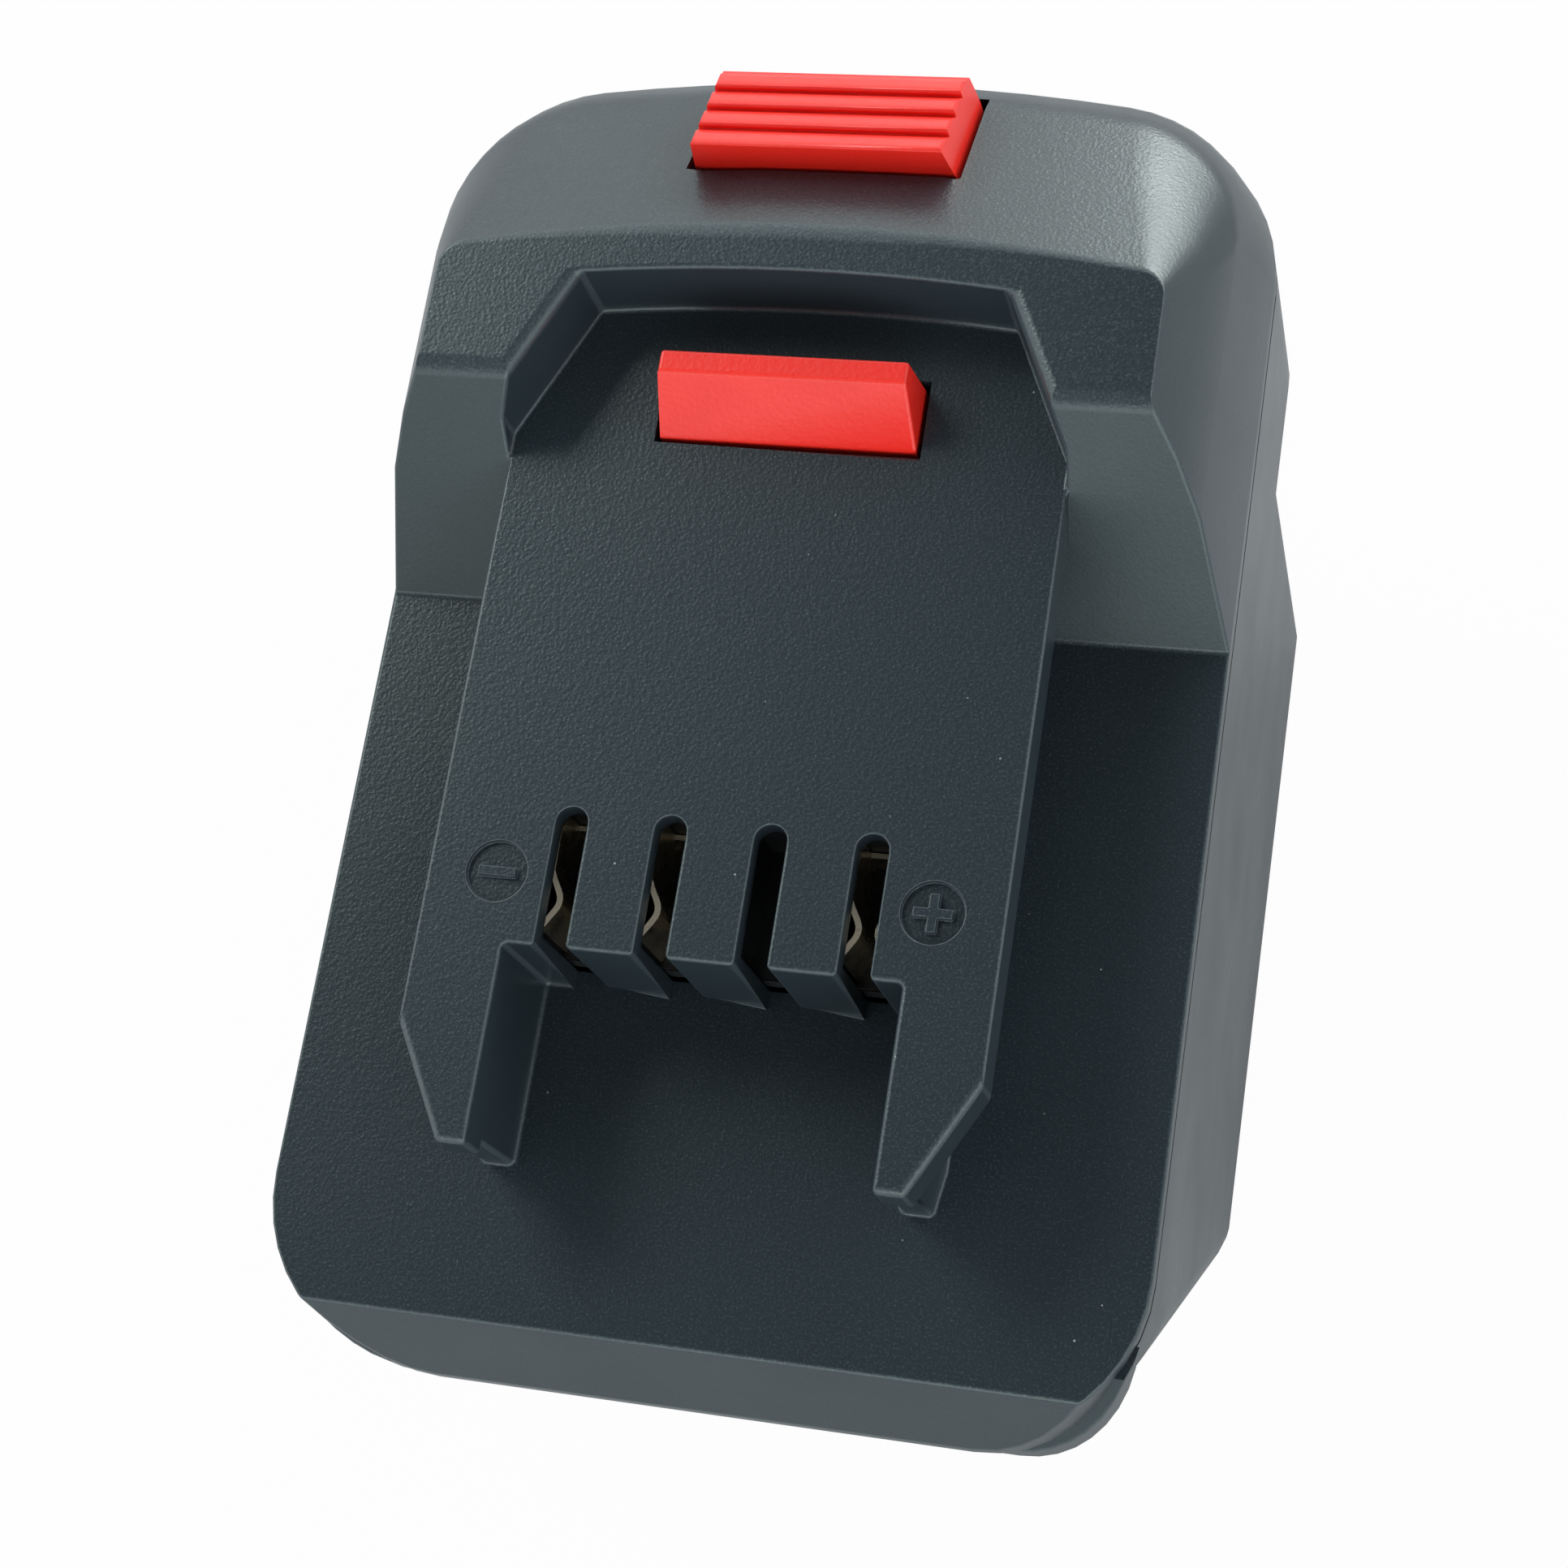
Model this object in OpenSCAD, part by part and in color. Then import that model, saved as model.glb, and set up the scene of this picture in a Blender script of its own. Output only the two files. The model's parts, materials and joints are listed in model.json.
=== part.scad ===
// Battery adapter for a cordless tool.
// The tool slides over the rails on top. A stem battery plugs into the socket underneath.
// X is the width, Y runs from the foot end to the head end with the button, Z is up from the rear face.

/* [Housing] */
// Width across the housing
body_w = 76; // [74:0.5:84]
// Length from the foot end to the head end
body_l = 119.6; // [117:0.2:125]
// Height of the tool-side deck above the rear face
deck_h = 63; // [61:0.5:68]
// Wall thickness of both shells
wall = 2.4; // [2:0.1:2.8]
// Thickness of the front plate at its rim
plate_t = 2.2; // [1.8:0.1:2.8]
// Open seam between the two shells
seam = 0.35; // [0.2:0.05:0.6]
// Corner radius of the front plate at the foot end
foot_r = 14.3; // [12:0.1:16]
// Corner radius of the sloping foot end of the rear shell
tub_r = 12; // [10:0.5:14]
// Corner radius at the head end
head_r = 15; // [12:0.5:16.5]
// Radius of the gentle crown of the head end
crown_r = 175; // [140:5:260]
// Length of the steep apron at the foot end of the deck
apron_l = 3.9; // [3.4:0.1:4.6]
// Drop of that apron
apron_drop = 9.7; // [8.6:0.1:10.4]
// Length over which the seam drops round the foot end
seam_run = 6.5; // [6:0.1:7]
// Drop of the seam at the foot end below the plate
seam_drop = 9.4; // [8.8:0.1:10.4]
// Height of the lip of the rear shell under that seam
lip_h = 4; // [3:0.1:6]
// Corner radius of that lip
lip_r = 10.5; // [9:0.1:12]
// Distance of the lip behind the edge of the plate
lip_in = 0.55; // [0.3:0.05:0.8]
// Slope of the foot end, in degrees from upright
foot_slope = 18.4; // [14:0.2:20]
// Radius of the toe where the slope meets the rear face
toe_r = 10; // [6:0.5:12]
// Depth of the head below the deck, over the finger space
under_h = 25.5; // [23:0.5:28]
// Reach of the head past the upright front wall
overhang = 24.2; // [21:0.2:27]
// Radius of the upright corners of that front wall
front_r = 3.5; // [3.5:0.5:6]
// Radius of the rounded rear edges
edge_r = 4; // [2.5:0.1:5]

/* [Head] */
// Height of the head face above the deck
head_h = 20.5; // [19:0.1:22]
// Length of the head from the foot of its ramp to the head end
head_l = 51.6; // [50:0.1:53]
// Run of the ramp from the deck up to the head face
ramp_run = 13.4; // [12:0.1:15]
// Length of the head face on the centre line
face_l = 14.4; // [13.8:0.1:15.4]
// Distance of the head face behind each side of the housing
face_in = 6.4; // [5.6:0.1:7.4]
// Distance of the break in the side slopes of the head behind each side
break_in = 2.8; // [2:0.1:3.8]
// Height of that break above the deck
break_h = 13.3; // [11:0.1:15]
// Height over which that break is rounded
break_soft = 5.5; // [3:0.1:7]
// Corner radius of the head face
face_r = 2.5; // [1.5:0.1:4]
// Extra rounding of the head corners halfway up
corner_bulge = 1.8; // [0:0.1:3]
// Slope of the shoulder behind the head face, in degrees
shoulder_a = 28; // [26:0.5:30]
// Radius of the rounded head end
rim_r = 12; // [10:0.5:13]
// Width of the recess at its closed end
recess_end_w = 37.2; // [34:0.2:40]
// Length of the slanting sides of the recess
recess_taper_l = 13.2; // [11:0.1:14]
// Distance from the top of the ramp to the closed end of the recess
recess_l = 10.5; // [10:0.1:11]

/* [Rails] */
// Height of the rail block above the deck
rail_h = 13; // [12:0.1:14]
// Width across the rail flanges
rail_w = 49; // [47:0.1:49.4]
// Thickness of the rail flanges
flange_t = 4.5; // [3.5:0.1:5]
// Width across the necks under the flanges
neck_w = 40.2; // [39:0.1:40.6]
// Thickness of the neck walls
neck_t = 3.2; // [2.6:0.1:3.4]
// Thickness of the top of the rail block
roof_t = 2; // [1.6:0.1:2.4]
// Thickness of the wall behind the mouth
mouth_t = 1.2; // [1:0.1:1.6]
// Distance from the foot end to the mouth between the two legs
mouth_y = 33.4; // [32:0.1:35]
// Length of the legs past the mouth
leg_l = 17; // [14:0.1:19]
// Length of the slanting end of each leg
leg_slant = 9.4; // [7:0.1:11]
// Width of the tip of each leg
leg_tip = 2.6; // [2:0.1:3]
// Distance of the neck behind the tip of the flange
neck_back = 0.9; // [0.4:0.1:1.4]
// Spacing of the contact slots
slot_pitch = 8.55; // [8.3:0.05:8.7]
// Width of a contact slot
slot_w = 2.75; // [2.2:0.05:3.2]
// Length of a contact slot
slot_l = 12.1; // [10:0.1:12.6]
// Radius of the round inset behind a polarity mark
mark_r = 2.65; // [2.2:0.05:2.8]
// Depth of that inset
mark_depth = 0.5; // [0.3:0.05:0.8]
// Width of the bars of a polarity mark
mark_bar = 0.8; // [0.6:0.05:1]

/* [Latch] */
// Travel of the release latch
latch_travel = 5; // [4:0.1:5.2]
// Gap around the latch in its openings
latch_gap = 0.45; // [0.35:0.05:0.6]
// Gap between the arm of the latch and the roof that stops it at rest
stop_gap = 0.3; // [0.2:0.05:0.4]
// Width of the locking wedge
wedge_w = 22.6; // [20:0.1:24]
// Height of the wedge above the rail block
wedge_h = 5.3; // [5.2:0.1:5.6]
// Length of the wedge
wedge_l = 6.1; // [5.8:0.1:6.6]
// Length of the flat land on top of the wedge
wedge_land = 2; // [1.5:0.1:2.5]
// Distance from the closed end of the recess to the wedge
wedge_set = 6.6; // [6.2:0.1:7]
// Width of the ribbed top of the button
button_w = 22.2; // [20:0.1:23]
// Spread of the button towards its foot, each side
button_spread = 0.7; // [0.4:0.1:1]
// Length of the button
button_l = 10.5; // [10:0.1:11]
// Distance from the head end to the button
button_set = 5.3; // [5:0.1:5.6]
// Corner radius at the back of the button, seen from above
button_r = 0.8; // [0.4:0.1:1.2]
// Height of the front crest of the button above the head face, negative when it lies lower
button_up = -0.4; // [-0.8:0.1:0.2]
// Fall of the ribbed top from front to back
button_fall = 5; // [4:0.1:6]
// Number of ribs on the button
ribs = 4; // [3:1:5]
// Depth of the grooves between the ribs
rib_depth = 0.8; // [0.4:0.05:1]
// Width of the arm between wedge and button
arm_w = 17; // [15:0.5:19]
// Thickness of the arm
arm_t = 3; // [2.4:0.1:3.4]
// Wire of the return springs
spring_wire = 0.6; // [0.5:0.05:0.7]
// Mean diameter of the return springs
spring_d = 5; // [4.8:0.1:5.6]
// Free turns of a return spring
spring_turns = 8; // [6:1:9]
// Spacing of the two return springs
spring_pitch = 11; // [10:0.5:12]
// Length of a return spring with the latch pressed
spring_min = 13; // [11.5:0.5:14.5]
// Diameter of the pins that centre the springs
pin_d = 3; // [2.6:0.1:3.4]
// Length of those pins
pin_l = 3.6; // [2.5:0.1:4]

/* [Contacts] */
// Thickness of the contact sheet
sheet_t = 0.5; // [0.4:0.05:0.6]
// Height of a contact leaf
leaf_h = 7.2; // [6:0.1:7.6]
// Gap between the two leaves at their throat
throat = 0.7; // [0.4:0.05:0.9]
// Distance from the mouth to the throat
throat_y = 4.7; // [4:0.1:5.4]
// Length of the contact leaves behind their lead-in tips
leaf_l = 9.9; // [9.2:0.1:10.2]
// Width of a chamber of the contact carrier
chamber_w = 4.6; // [4.2:0.1:5]
// Floor thickness of the contact carrier
carrier_floor = 2; // [1.6:0.1:2.4]
// Loose fit between pieces that are screwed or slipped together
fit = 0.1; // [0.05:0.01:0.15]

/* [Battery socket] */
// Width of the battery socket
socket_w = 47; // [44:0.5:48]
// Length of the battery socket
socket_l = 36; // [33:0.5:37]
// Depth of the battery socket
socket_h = 44; // [40:0.5:45]
// Offset of the socket from the middle of the housing
socket_y = -3; // [-4:0.5:-2]
// Wall of the socket sleeve
sleeve_t = 2; // [1.6:0.1:2.4]
// Length of the catch windows in the sleeve
catch_l = 14; // [10:0.5:16]
// Height of the catch windows
catch_h = 5; // [4:0.5:6]
// Height of the lower edge of the catch windows
catch_z = 14; // [12:0.5:18]
// Thickness of a battery blade
blade_t = 0.8; // [0.6:0.05:1]
// Width of a battery blade
blade_w = 6; // [5:0.1:6.5]
// Reach of the blades into the socket
blade_reach = 10; // [8:0.5:12]
// Spacing of the three blades
blade_pitch = 10; // [9:0.1:11]
// Diameter of an insulated lead
lead_d = 2.2; // [1.8:0.1:2.4]

/* [Screws] */
// Shank diameter of a housing screw
screw_d = 3; // [2.6:0.1:3.2]
// Head diameter of a housing screw
screw_head_d = 5.6; // [5:0.1:5.8]
// Head height of a housing screw
screw_head_h = 2; // [1.6:0.1:2.4]
// Length of a housing screw under its head
screw_l = 15; // [13:0.5:16]
// Outer diameter of the screw columns
column_d = 8.4; // [8:0.1:8.6]
// Height of the screw seats below the top of their columns
seat_h = 6; // [5:0.5:7]
// Shank diameter of a small screw
small_d = 2; // [1.8:0.1:2.2]
// Head diameter of a small screw
small_head_d = 3.8; // [3.4:0.1:4]
// Head height of a small screw
small_head_h = 1.5; // [1.2:0.1:1.8]
// Length of a small screw under its head
small_l = 5; // [4.5:0.1:5.4]
// Diameter of the ears and bosses of the small screws
ear_d = 5.6; // [5.2:0.1:6]
// Thickness of those ears
ear_t = 2.4; // [2:0.1:2.6]

/* [Hidden] */
$fn = 48;
charcoal = [0.18, 0.2, 0.21];
dark_grey = [0.26, 0.27, 0.28];
red = [0.85, 0.13, 0.12];
nickel = [0.82, 0.79, 0.7];
steel = [0.7, 0.71, 0.72];
arc_steps = 10;
eps = 0.01;
// Overlap of pieces that are joined and overshoot of cuts
over = 1;

// Heights and stations
half_w = body_w / 2;
face_half = half_w - face_in;
break_half = half_w - break_in;
y_foot = -body_l / 2;
y_head = body_l / 2;
z_part = deck_h - plate_t;
z_rim = z_part - seam;
z_under = deck_h - under_h;
z_top = deck_h + rail_h;
z_roof = z_top - roof_t;
z_flange = z_top - flange_t;
z_face = deck_h + head_h;
z_break = deck_h + break_h;
slope_out = 0.35;
y_slope = y_foot - slope_out;
y_front = y_head - overhang;
y_ramp = y_head - head_l;
y_face = y_ramp + ramp_run;
y_crease = y_face + face_l;
y_recess = y_face + recess_l;
y_mouth = y_foot + mouth_y;
y_leg = y_mouth - leg_l;
neck_in = neck_w / 2 - neck_t;
// Share of the slant of the flange that the neck under it has
neck_slant = 0.4;
// Place and proportions of the polarity marks
mark_y = 6;
mark_in = 1.6;
mark_reach = 0.62;

// The shoulder falls at a slope and ends in a round rim
rim_steps = 5;
rim_end = 90 - shoulder_a;
z_rim_c = z_face - rim_r * sin(rim_end)
    - tan(shoulder_a) * (y_head - rim_r + rim_r * cos(rim_end) - y_crease);
z_tangent = z_rim_c + rim_r * sin(rim_end);
head_levels = falling(concat([z_part, deck_h],
    [for (i = [1 : rim_steps]) z_rim_c + rim_r * sin(rim_end * i / rim_steps)],
    [z_break - break_soft / 2, z_break + break_soft / 2, z_face]));

// Ramp wall measured along Y, per unit of wall
ramp_skew = 1.4;
// Least corner radius inside the head
least_r = 0.5;
// How late the head corners draw in towards the face
corner_power = 1.6;
// Step of the fine line between the sides and the sloping foot end
crease = 0.3;
// Rise of the seam along Y at the foot end
seam_rise = seam_drop / seam_run;

// Rib under the front plate
rib_h = 2;
rib_t = 1.2;
rib_gap = 0.4;

// Latch stations, at rest
y_wedge = y_recess - wedge_set;
y_button = y_head - button_set - button_l;
z_arm = z_roof - stop_gap - arm_t;
z_wedge = z_top + wedge_h;
z_button = z_face + button_up;
button_foot = button_w + 2 * button_spread;
// Slope of the ribbed top, and depth below it over which the ends of the button spread
button_slope = atan(button_fall / button_l);
button_skirt = 5.2;
// Bevels of the button and the wedge
button_edge = 0.3;
button_bevel = 0.2;
wedge_bevel = 0.5;
// Lean of the back of the wedge and depth of its front edge below the rail block
wedge_lean = 0.3;
wedge_sink = 0.2;
// Depth of the opening of the button below the rail block
opening_depth = latch_travel + arm_t;
y_spring = y_button + button_l / 2;
spring_l = spring_min + latch_travel;
z_spring = z_arm - spring_l;
seat_gap = 0.05;
// Room past the tip of a small screw
tip_gap = 0.5;

// Screw stations
column_gap = 0.6;
column_back = 4;
column_out = 3;
column_below = 18;
head_column_h = 14;
boss_step = 1.2;
column_x = half_w - wall - column_d / 2 - column_gap;
y_column_foot = y_slope + deck_h * tan(foot_slope) + toe_r / 2 + column_d / 2;
y_column_front = y_front - wall - column_d / 2 - column_back;
y_column_head = y_spring;
column_head_x = half_w - head_r + column_out;
boss_d = column_d - boss_step;
z_column = deck_h - column_below;
z_column_head = z_under + head_column_h;

// Contact stations
slot_x = [for (i = [-1.5 : 1 : 1.5]) i * slot_pitch];
carrier_gap = 0.3;
// Least wall of the carrier beside the outer chambers
carrier_side = 0.8;
// Half width of the room for the carrier inside the rail block
room_in = max(neck_in, slot_x[3] + chamber_w / 2 + carrier_side + carrier_gap);
carrier_lift = 0.6;
carrier_back = 2.2;
chamber_past = 0.6;
// Gap between a screw boss and the piece beside it
boss_gap = 0.3;
z_carrier = deck_h + carrier_lift;
y_carrier = y_mouth + mouth_t + carrier_gap;
y_chamber = y_mouth + slot_l + chamber_past;
y_carrier_end = y_chamber + carrier_back;
y_ear = y_carrier_end + ear_d / 2 + boss_gap;
z_ear = z_carrier + ear_t;
tail_w = 1.6;
tail_drop = 3;
z_tail = deck_h - tail_drop;
y_tail = y_chamber - fit - sheet_t / 2;

// Battery socket stations
socket_r = 1.2;
z_ceiling = socket_h + sleeve_t;
sleeve_out = socket_w / 2 + sleeve_t;
sleeve_ear_x = sleeve_out + ear_d / 2 + boss_gap;
sleeve_ear_y = socket_l / 3;
sleeve_ear_lift = 1.2;
z_sleeve_ear = wall + small_l - ear_t + sleeve_ear_lift;
block_set = 6;
block_h = 5;
// Material of the block round its blades
block_side = 4;
block_end = 3;
tab_h = 3;
tab_side = 1;
y_block = socket_y + block_set;
block_l = blade_w + 2 * block_end;
z_block = z_ceiling + block_h;
block_ear_x = blade_pitch + block_side + ear_d / 2 + boss_gap;
z_blade = z_block + tab_h;
// Loose fits, wider where a screw or blade passes through
pass_fit = 2 * fit;
head_fit = 3 * fit;

function mix(a, b, t) = a + (b - a) * t;

// Numbers from high to low, each once
function falling(v) = len(v) < 2 ? v : let (m = v[0])
    concat(falling([for (x = v) if (x > m) x]), [m], falling([for (x = v) if (x < m) x]));

// Points of an arc, both ends included
function arc(c, r, a0, a1) = [for (i = [0 : arc_steps])
    let (a = mix(a0, a1, i / arc_steps)) c + r * [cos(a), sin(a)]];

// Outline with two round corners at its low end
function low_round(x0, x1, y0, y1, r) = concat([[x1, y1], [x0, y1]],
    arc([x0 + r, y0 + r], r, 180, 270), arc([x1 - r, y0 + r], r, 270, 360));

// Outline with round corners at both ends
function rounded(half, y0, y1, r0, r1) = concat(arc([half - r1, y1 - r1], r1, 0, 90),
    arc([r1 - half, y1 - r1], r1, 90, 180), arc([r0 - half, y0 + r0], r0, 180, 270),
    arc([half - r0, y0 + r0], r0, 270, 360));

// Crowned head end from the left side round to the right, corners tangent to the crown
function crowned(half, y1, r) = let (
        yc = y1 - crown_r + sqrt((crown_r - r) ^ 2 - (half - r) ^ 2),
        a = atan2(yc - y1 + crown_r, half - r))
    concat(arc([half - r, yc], r, 0, a),
        [for (i = [1 : arc_steps - 1]) let (b = mix(a, 180 - a, i / arc_steps))
            [crown_r * cos(b), y1 - crown_r + crown_r * sin(b)]],
        arc([r - half, yc], r, 180 - a, 180));

function head_outline(half, y0, y1, r) = concat([[-half, y0], [half, y0]], crowned(half, y1, r));

// Head section at height z: half width, ramp, end and corner radius
function side_at(z) = z <= deck_h ? half_w
    : z < z_break ? mix(half_w, break_half, (z - deck_h) / break_h)
    : mix(break_half, face_half, (z - z_break) / (z_face - z_break));
function ramp_at(z) = y_ramp + ramp_run * max(0, z - deck_h) / head_h;
function shoulder_at(z) = z <= z_rim_c ? y_head
    : z < z_tangent ? y_head - rim_r + sqrt(rim_r ^ 2 - (z - z_rim_c) ^ 2)
    : y_crease + (z_face - z) / tan(shoulder_a);
function corner_at(z) = let (t = max(0, z - deck_h) / head_h)
    mix(head_r, face_r, t ^ corner_power) + 4 * corner_bulge * t * (1 - t);
function shoulder_z(y) = z_face - (y - y_crease) * tan(shoulder_a);

// Head as a loft through its sections, drawn in by a wall for the inside
function head_ring(z, inset) = [for (p = head_outline(side_at(z) - inset, ramp_at(z) + ramp_skew * inset,
    shoulder_at(z) - inset, max(least_r, corner_at(z) - inset))) [p[0], p[1], z - inset]];
module head_form(inset) {
    loft([for (z = head_levels) head_ring(z, inset)]);
}

// Solid through rings of points that each turn clockwise, seen along the way
module loft(rings) {
    sides = len(rings[0]);
    n = len(rings);
    faces = concat(
        [for (k = [1 : sides - 2]) [0, k + 1, k]],
        [for (k = [1 : sides - 2]) [(n - 1) * sides, (n - 1) * sides + k, (n - 1) * sides + k + 1]],
        [for (i = [0 : n - 2], k = [0 : sides - 1], t = [0, 1]) let (j = (k + 1) % sides)
            t == 0 ? [i * sides + k, i * sides + j, (i + 1) * sides + j]
                : [i * sides + k, (i + 1) * sides + j, (i + 1) * sides + k]]);
    polyhedron([for (g = rings) for (p = g) p], faces);
}

// Ring of points round a place on a path
function ring(p, u, v, r, sides) = [for (k = [0 : sides - 1])
    let (a = 360 * k / sides) p + r * (cos(a) * u + sin(a) * v)];

// Profile in X and Z drawn along Y
module along_y(length) {
    rotate([90, 0, 0])
        linear_extrude(length, center = true)
            children();
}

// Profile in Y and Z drawn along X
module along_x(length) {
    rotate([90, 0, 90])
        linear_extrude(length, center = true)
            children();
}

// Whole plan of the front plate
module plate_plan(inset) {
    polygon(concat(crowned(half_w - inset, y_head - inset, head_r - inset),
        arc([foot_r - half_w, y_foot + foot_r], foot_r - inset, 180, 270),
        arc([half_w - foot_r, y_foot + foot_r], foot_r - inset, 270, 360)));
}

module recess_plan(grow) {
    half = rail_w / 2 + grow;
    end_half = recess_end_w / 2 + grow;
    y_end = y_recess + grow;
    a = acos(end_half / crown_r);
    polygon(concat([[half, y_recess - recess_taper_l], [half, y_ramp], [-half, y_ramp],
        [-half, y_recess - recess_taper_l]],
        arc([0, y_end - crown_r], crown_r, 180 - a, a)));
}

// Rail plan: a block that ends in two slanted legs round the mouth
module rail_plan(half, y_tip, slant) {
    tip = min(neck_in + leg_tip, half);
    y_slant = y_tip + slant;
    polygon([[half, y_face], [half, y_slant], [tip, y_tip], [neck_in, y_tip], [neck_in, y_mouth],
        [-neck_in, y_mouth], [-neck_in, y_tip], [-tip, y_tip], [-half, y_slant], [-half, y_face]]);
}

module slot_cut() {
    for (x = slot_x) {
        translate([x - slot_w / 2, y_mouth - over, deck_h])
            cube([slot_w, slot_l - slot_w / 2 + over, rail_h]);
        translate([x, y_mouth + slot_l - slot_w / 2, z_roof - over])
            cylinder(d = slot_w, h = roof_t + 2 * over);
    }
}

// Round inset with raised bars that stand level with the rail block
module mark(x, bars) {
    reach = mark_r * mark_reach;
    translate([x, y_mouth + mark_y, z_top - mark_depth])
        difference() {
            cylinder(r = mark_r, h = mark_depth + over);
            for (a = bars)
                rotate([0, 0, a])
                    translate([-reach, -mark_bar / 2, -over])
                        cube([2 * reach, mark_bar, mark_depth + over]);
        }
}

module front_bosses() {
    for (x = [-column_x, column_x]) {
        translate([x, y_column_foot, z_column])
            cylinder(d = boss_d, h = z_part + plate_t / 2 - z_column);
        translate([x, y_column_front, z_column])
            cylinder(d = boss_d, h = z_break - wall - z_column);
    }
    for (x = [-column_head_x, column_head_x])
        translate([x, y_column_head, z_column_head])
            cylinder(d = boss_d, h = shoulder_z(y_column_head) - wall - over - z_column_head);
    for (x = [-slot_pitch, slot_pitch])
        translate([x, y_ear, z_ear])
            cylinder(d = ear_d, h = z_roof + over / 2 - z_ear);
}

module front_pilots() {
    for (x = [-column_x, column_x], y = [y_column_foot, y_column_front])
        translate([x, y, z_column - over])
            cylinder(d = screw_d + 2 * fit, h = screw_l - seat_h + 2 * over);
    for (x = [-column_head_x, column_head_x])
        translate([x, y_column_head, z_column_head - over])
            cylinder(d = screw_d + 2 * fit, h = screw_l - seat_h + 2 * over);
    for (x = [-slot_pitch, slot_pitch])
        translate([x, y_ear, z_ear - over])
            cylinder(d = small_d + 2 * fit, h = small_l - ear_t + over + tip_gap);
}

// Front plate, folded down into a steep apron at the foot end
module plate() {
    intersection() {
        translate([0, 0, z_part - seam_drop - over])
            linear_extrude(plate_t + seam_drop + over)
                plate_plan(0);
        along_x(2 * body_w)
            polygon([[y_head + over, z_part], [y_head + over, deck_h], [y_foot + apron_l, deck_h],
                [y_foot, deck_h - apron_drop], [y_foot, z_part - seam_drop], [y_foot + seam_run, z_part]]);
    }
}

// Rib under the plate that drops inside the rear shell
module locating_rib() {
    rib_in = wall + rib_gap;
    intersection() {
        union() {
            translate([0, 0, z_part - rib_h])
                linear_extrude(rib_h + plate_t / 2)
                    difference() {
                        plate_plan(rib_in);
                        plate_plan(rib_in + rib_t);
                    }
            translate([0, 0, z_part])
                linear_extrude(plate_t / 2)
                    difference() {
                        plate_plan(wall / 2);
                        plate_plan(rib_in + rib_t);
                    }
        }
        // Ends short of the apron
        translate([-body_w, y_foot + seam_run + wall, 0])
            cube([2 * body_w, 2 * body_l, 2 * deck_h]);
    }
}

module front_shell() {
    color(charcoal)
        difference() {
            union() {
                difference() {
                    union() {
                        head_form(0);
                        plate();
                        translate([0, 0, z_flange])
                            linear_extrude(flange_t)
                                rail_plan(rail_w / 2, y_leg, leg_slant);
                        translate([0, 0, z_part])
                            linear_extrude(z_flange + over / 2 - z_part)
                                rail_plan(neck_w / 2, y_leg + neck_back, leg_slant * neck_slant);
                    }
                    // Recess round the wedge
                    translate([0, 0, z_top])
                        linear_extrude(head_h)
                            recess_plan(0);
                    // Inside of the head, kept clear of the recess
                    difference() {
                        head_form(wall);
                        translate([0, 0, z_roof])
                            linear_extrude(head_h)
                                recess_plan(wall);
                    }
                    // Inside of the rail block, open below
                    translate([-room_in, y_mouth + mouth_t, z_part - over])
                        cube([2 * room_in, y_recess - y_mouth - mouth_t, z_roof - z_part + over]);
                    slot_cut();
                    mark(mark_in - neck_w / 2, [0]);
                    mark(neck_w / 2 - mark_in, [0, 90]);
                    // Opening of the wedge
                    translate([-wedge_w / 2 - latch_gap, y_wedge - wedge_l - latch_gap, z_roof - over])
                        cube([wedge_w + 2 * latch_gap, wedge_l + 2 * latch_gap, roof_t + 2 * over]);
                    // Opening of the button
                    translate([-button_foot / 2 - latch_gap, y_button - latch_gap, z_roof - opening_depth])
                        cube([button_foot + 2 * latch_gap, button_l + 2 * latch_gap,
                            head_h + opening_depth]);
                }
                front_bosses();
                locating_rib();
            }
            front_pilots();
        }
}

// Deep lower housing, drawn in by a wall for the inside
module tub_form(inset) {
    toe_c = y_slope + inset + (deck_h - inset - toe_r) * tan(foot_slope) + toe_r / cos(foot_slope);
    intersection() {
        translate([0, 0, inset])
            linear_extrude(deck_h)
                polygon(rounded(half_w - inset, y_foot + inset, y_front - inset, foot_r - inset,
                    front_r - inset));
        // Sloping foot end, a touch wider so that it meets the sides in a fine line
        translate([0, y_slope + inset, deck_h])
            rotate([foot_slope, 0, 0])
                translate([0, 0, -2 * deck_h])
                    linear_extrude(4 * deck_h)
                        polygon(rounded(half_w - inset + crease, 0, 2 * body_l, tub_r - inset, front_r));
        along_y(2 * body_l)
            polygon(low_round(inset - half_w, half_w - inset, inset, 2 * deck_h, edge_r));
        along_x(2 * body_w)
            polygon(concat([[y_front - inset, 2 * deck_h], [y_foot - toe_r, 2 * deck_h]],
                arc([toe_c, inset + toe_r], toe_r, 180 + foot_slope, 270),
                arc([y_front - inset - edge_r, inset + edge_r], edge_r, 270, 360)));
    }
}

// Lip of the rear shell under the apron of the front plate
module lip_form(inset) {
    set_in = lip_in + inset;
    y_near = y_foot - over;
    y_far = y_foot + 2 * foot_r;
    z_near = z_rim - seam_drop - seam_rise * over;
    z_far = z_rim + seam_rise * (2 * foot_r - seam_run);
    intersection() {
        translate([0, 0, z_under])
            linear_extrude(deck_h)
                polygon(rounded(half_w - set_in, y_foot + set_in, y_front, lip_r - inset, front_r));
        along_x(2 * body_w)
            polygon([[y_near, z_near + deck_h], [y_near, z_near - lip_h + inset],
                [y_far, z_far - lip_h + inset], [y_far, z_far + deck_h]]);
    }
}

// Everything of the rear shell that lies under the seam
module below_seam() {
    along_x(4 * body_w)
        polygon([[y_foot - over, -deck_h], [2 * body_l, -deck_h], [2 * body_l, z_rim],
            [y_foot + seam_run, z_rim], [y_foot - over, z_rim - seam_drop - seam_rise * over]]);
}

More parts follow.
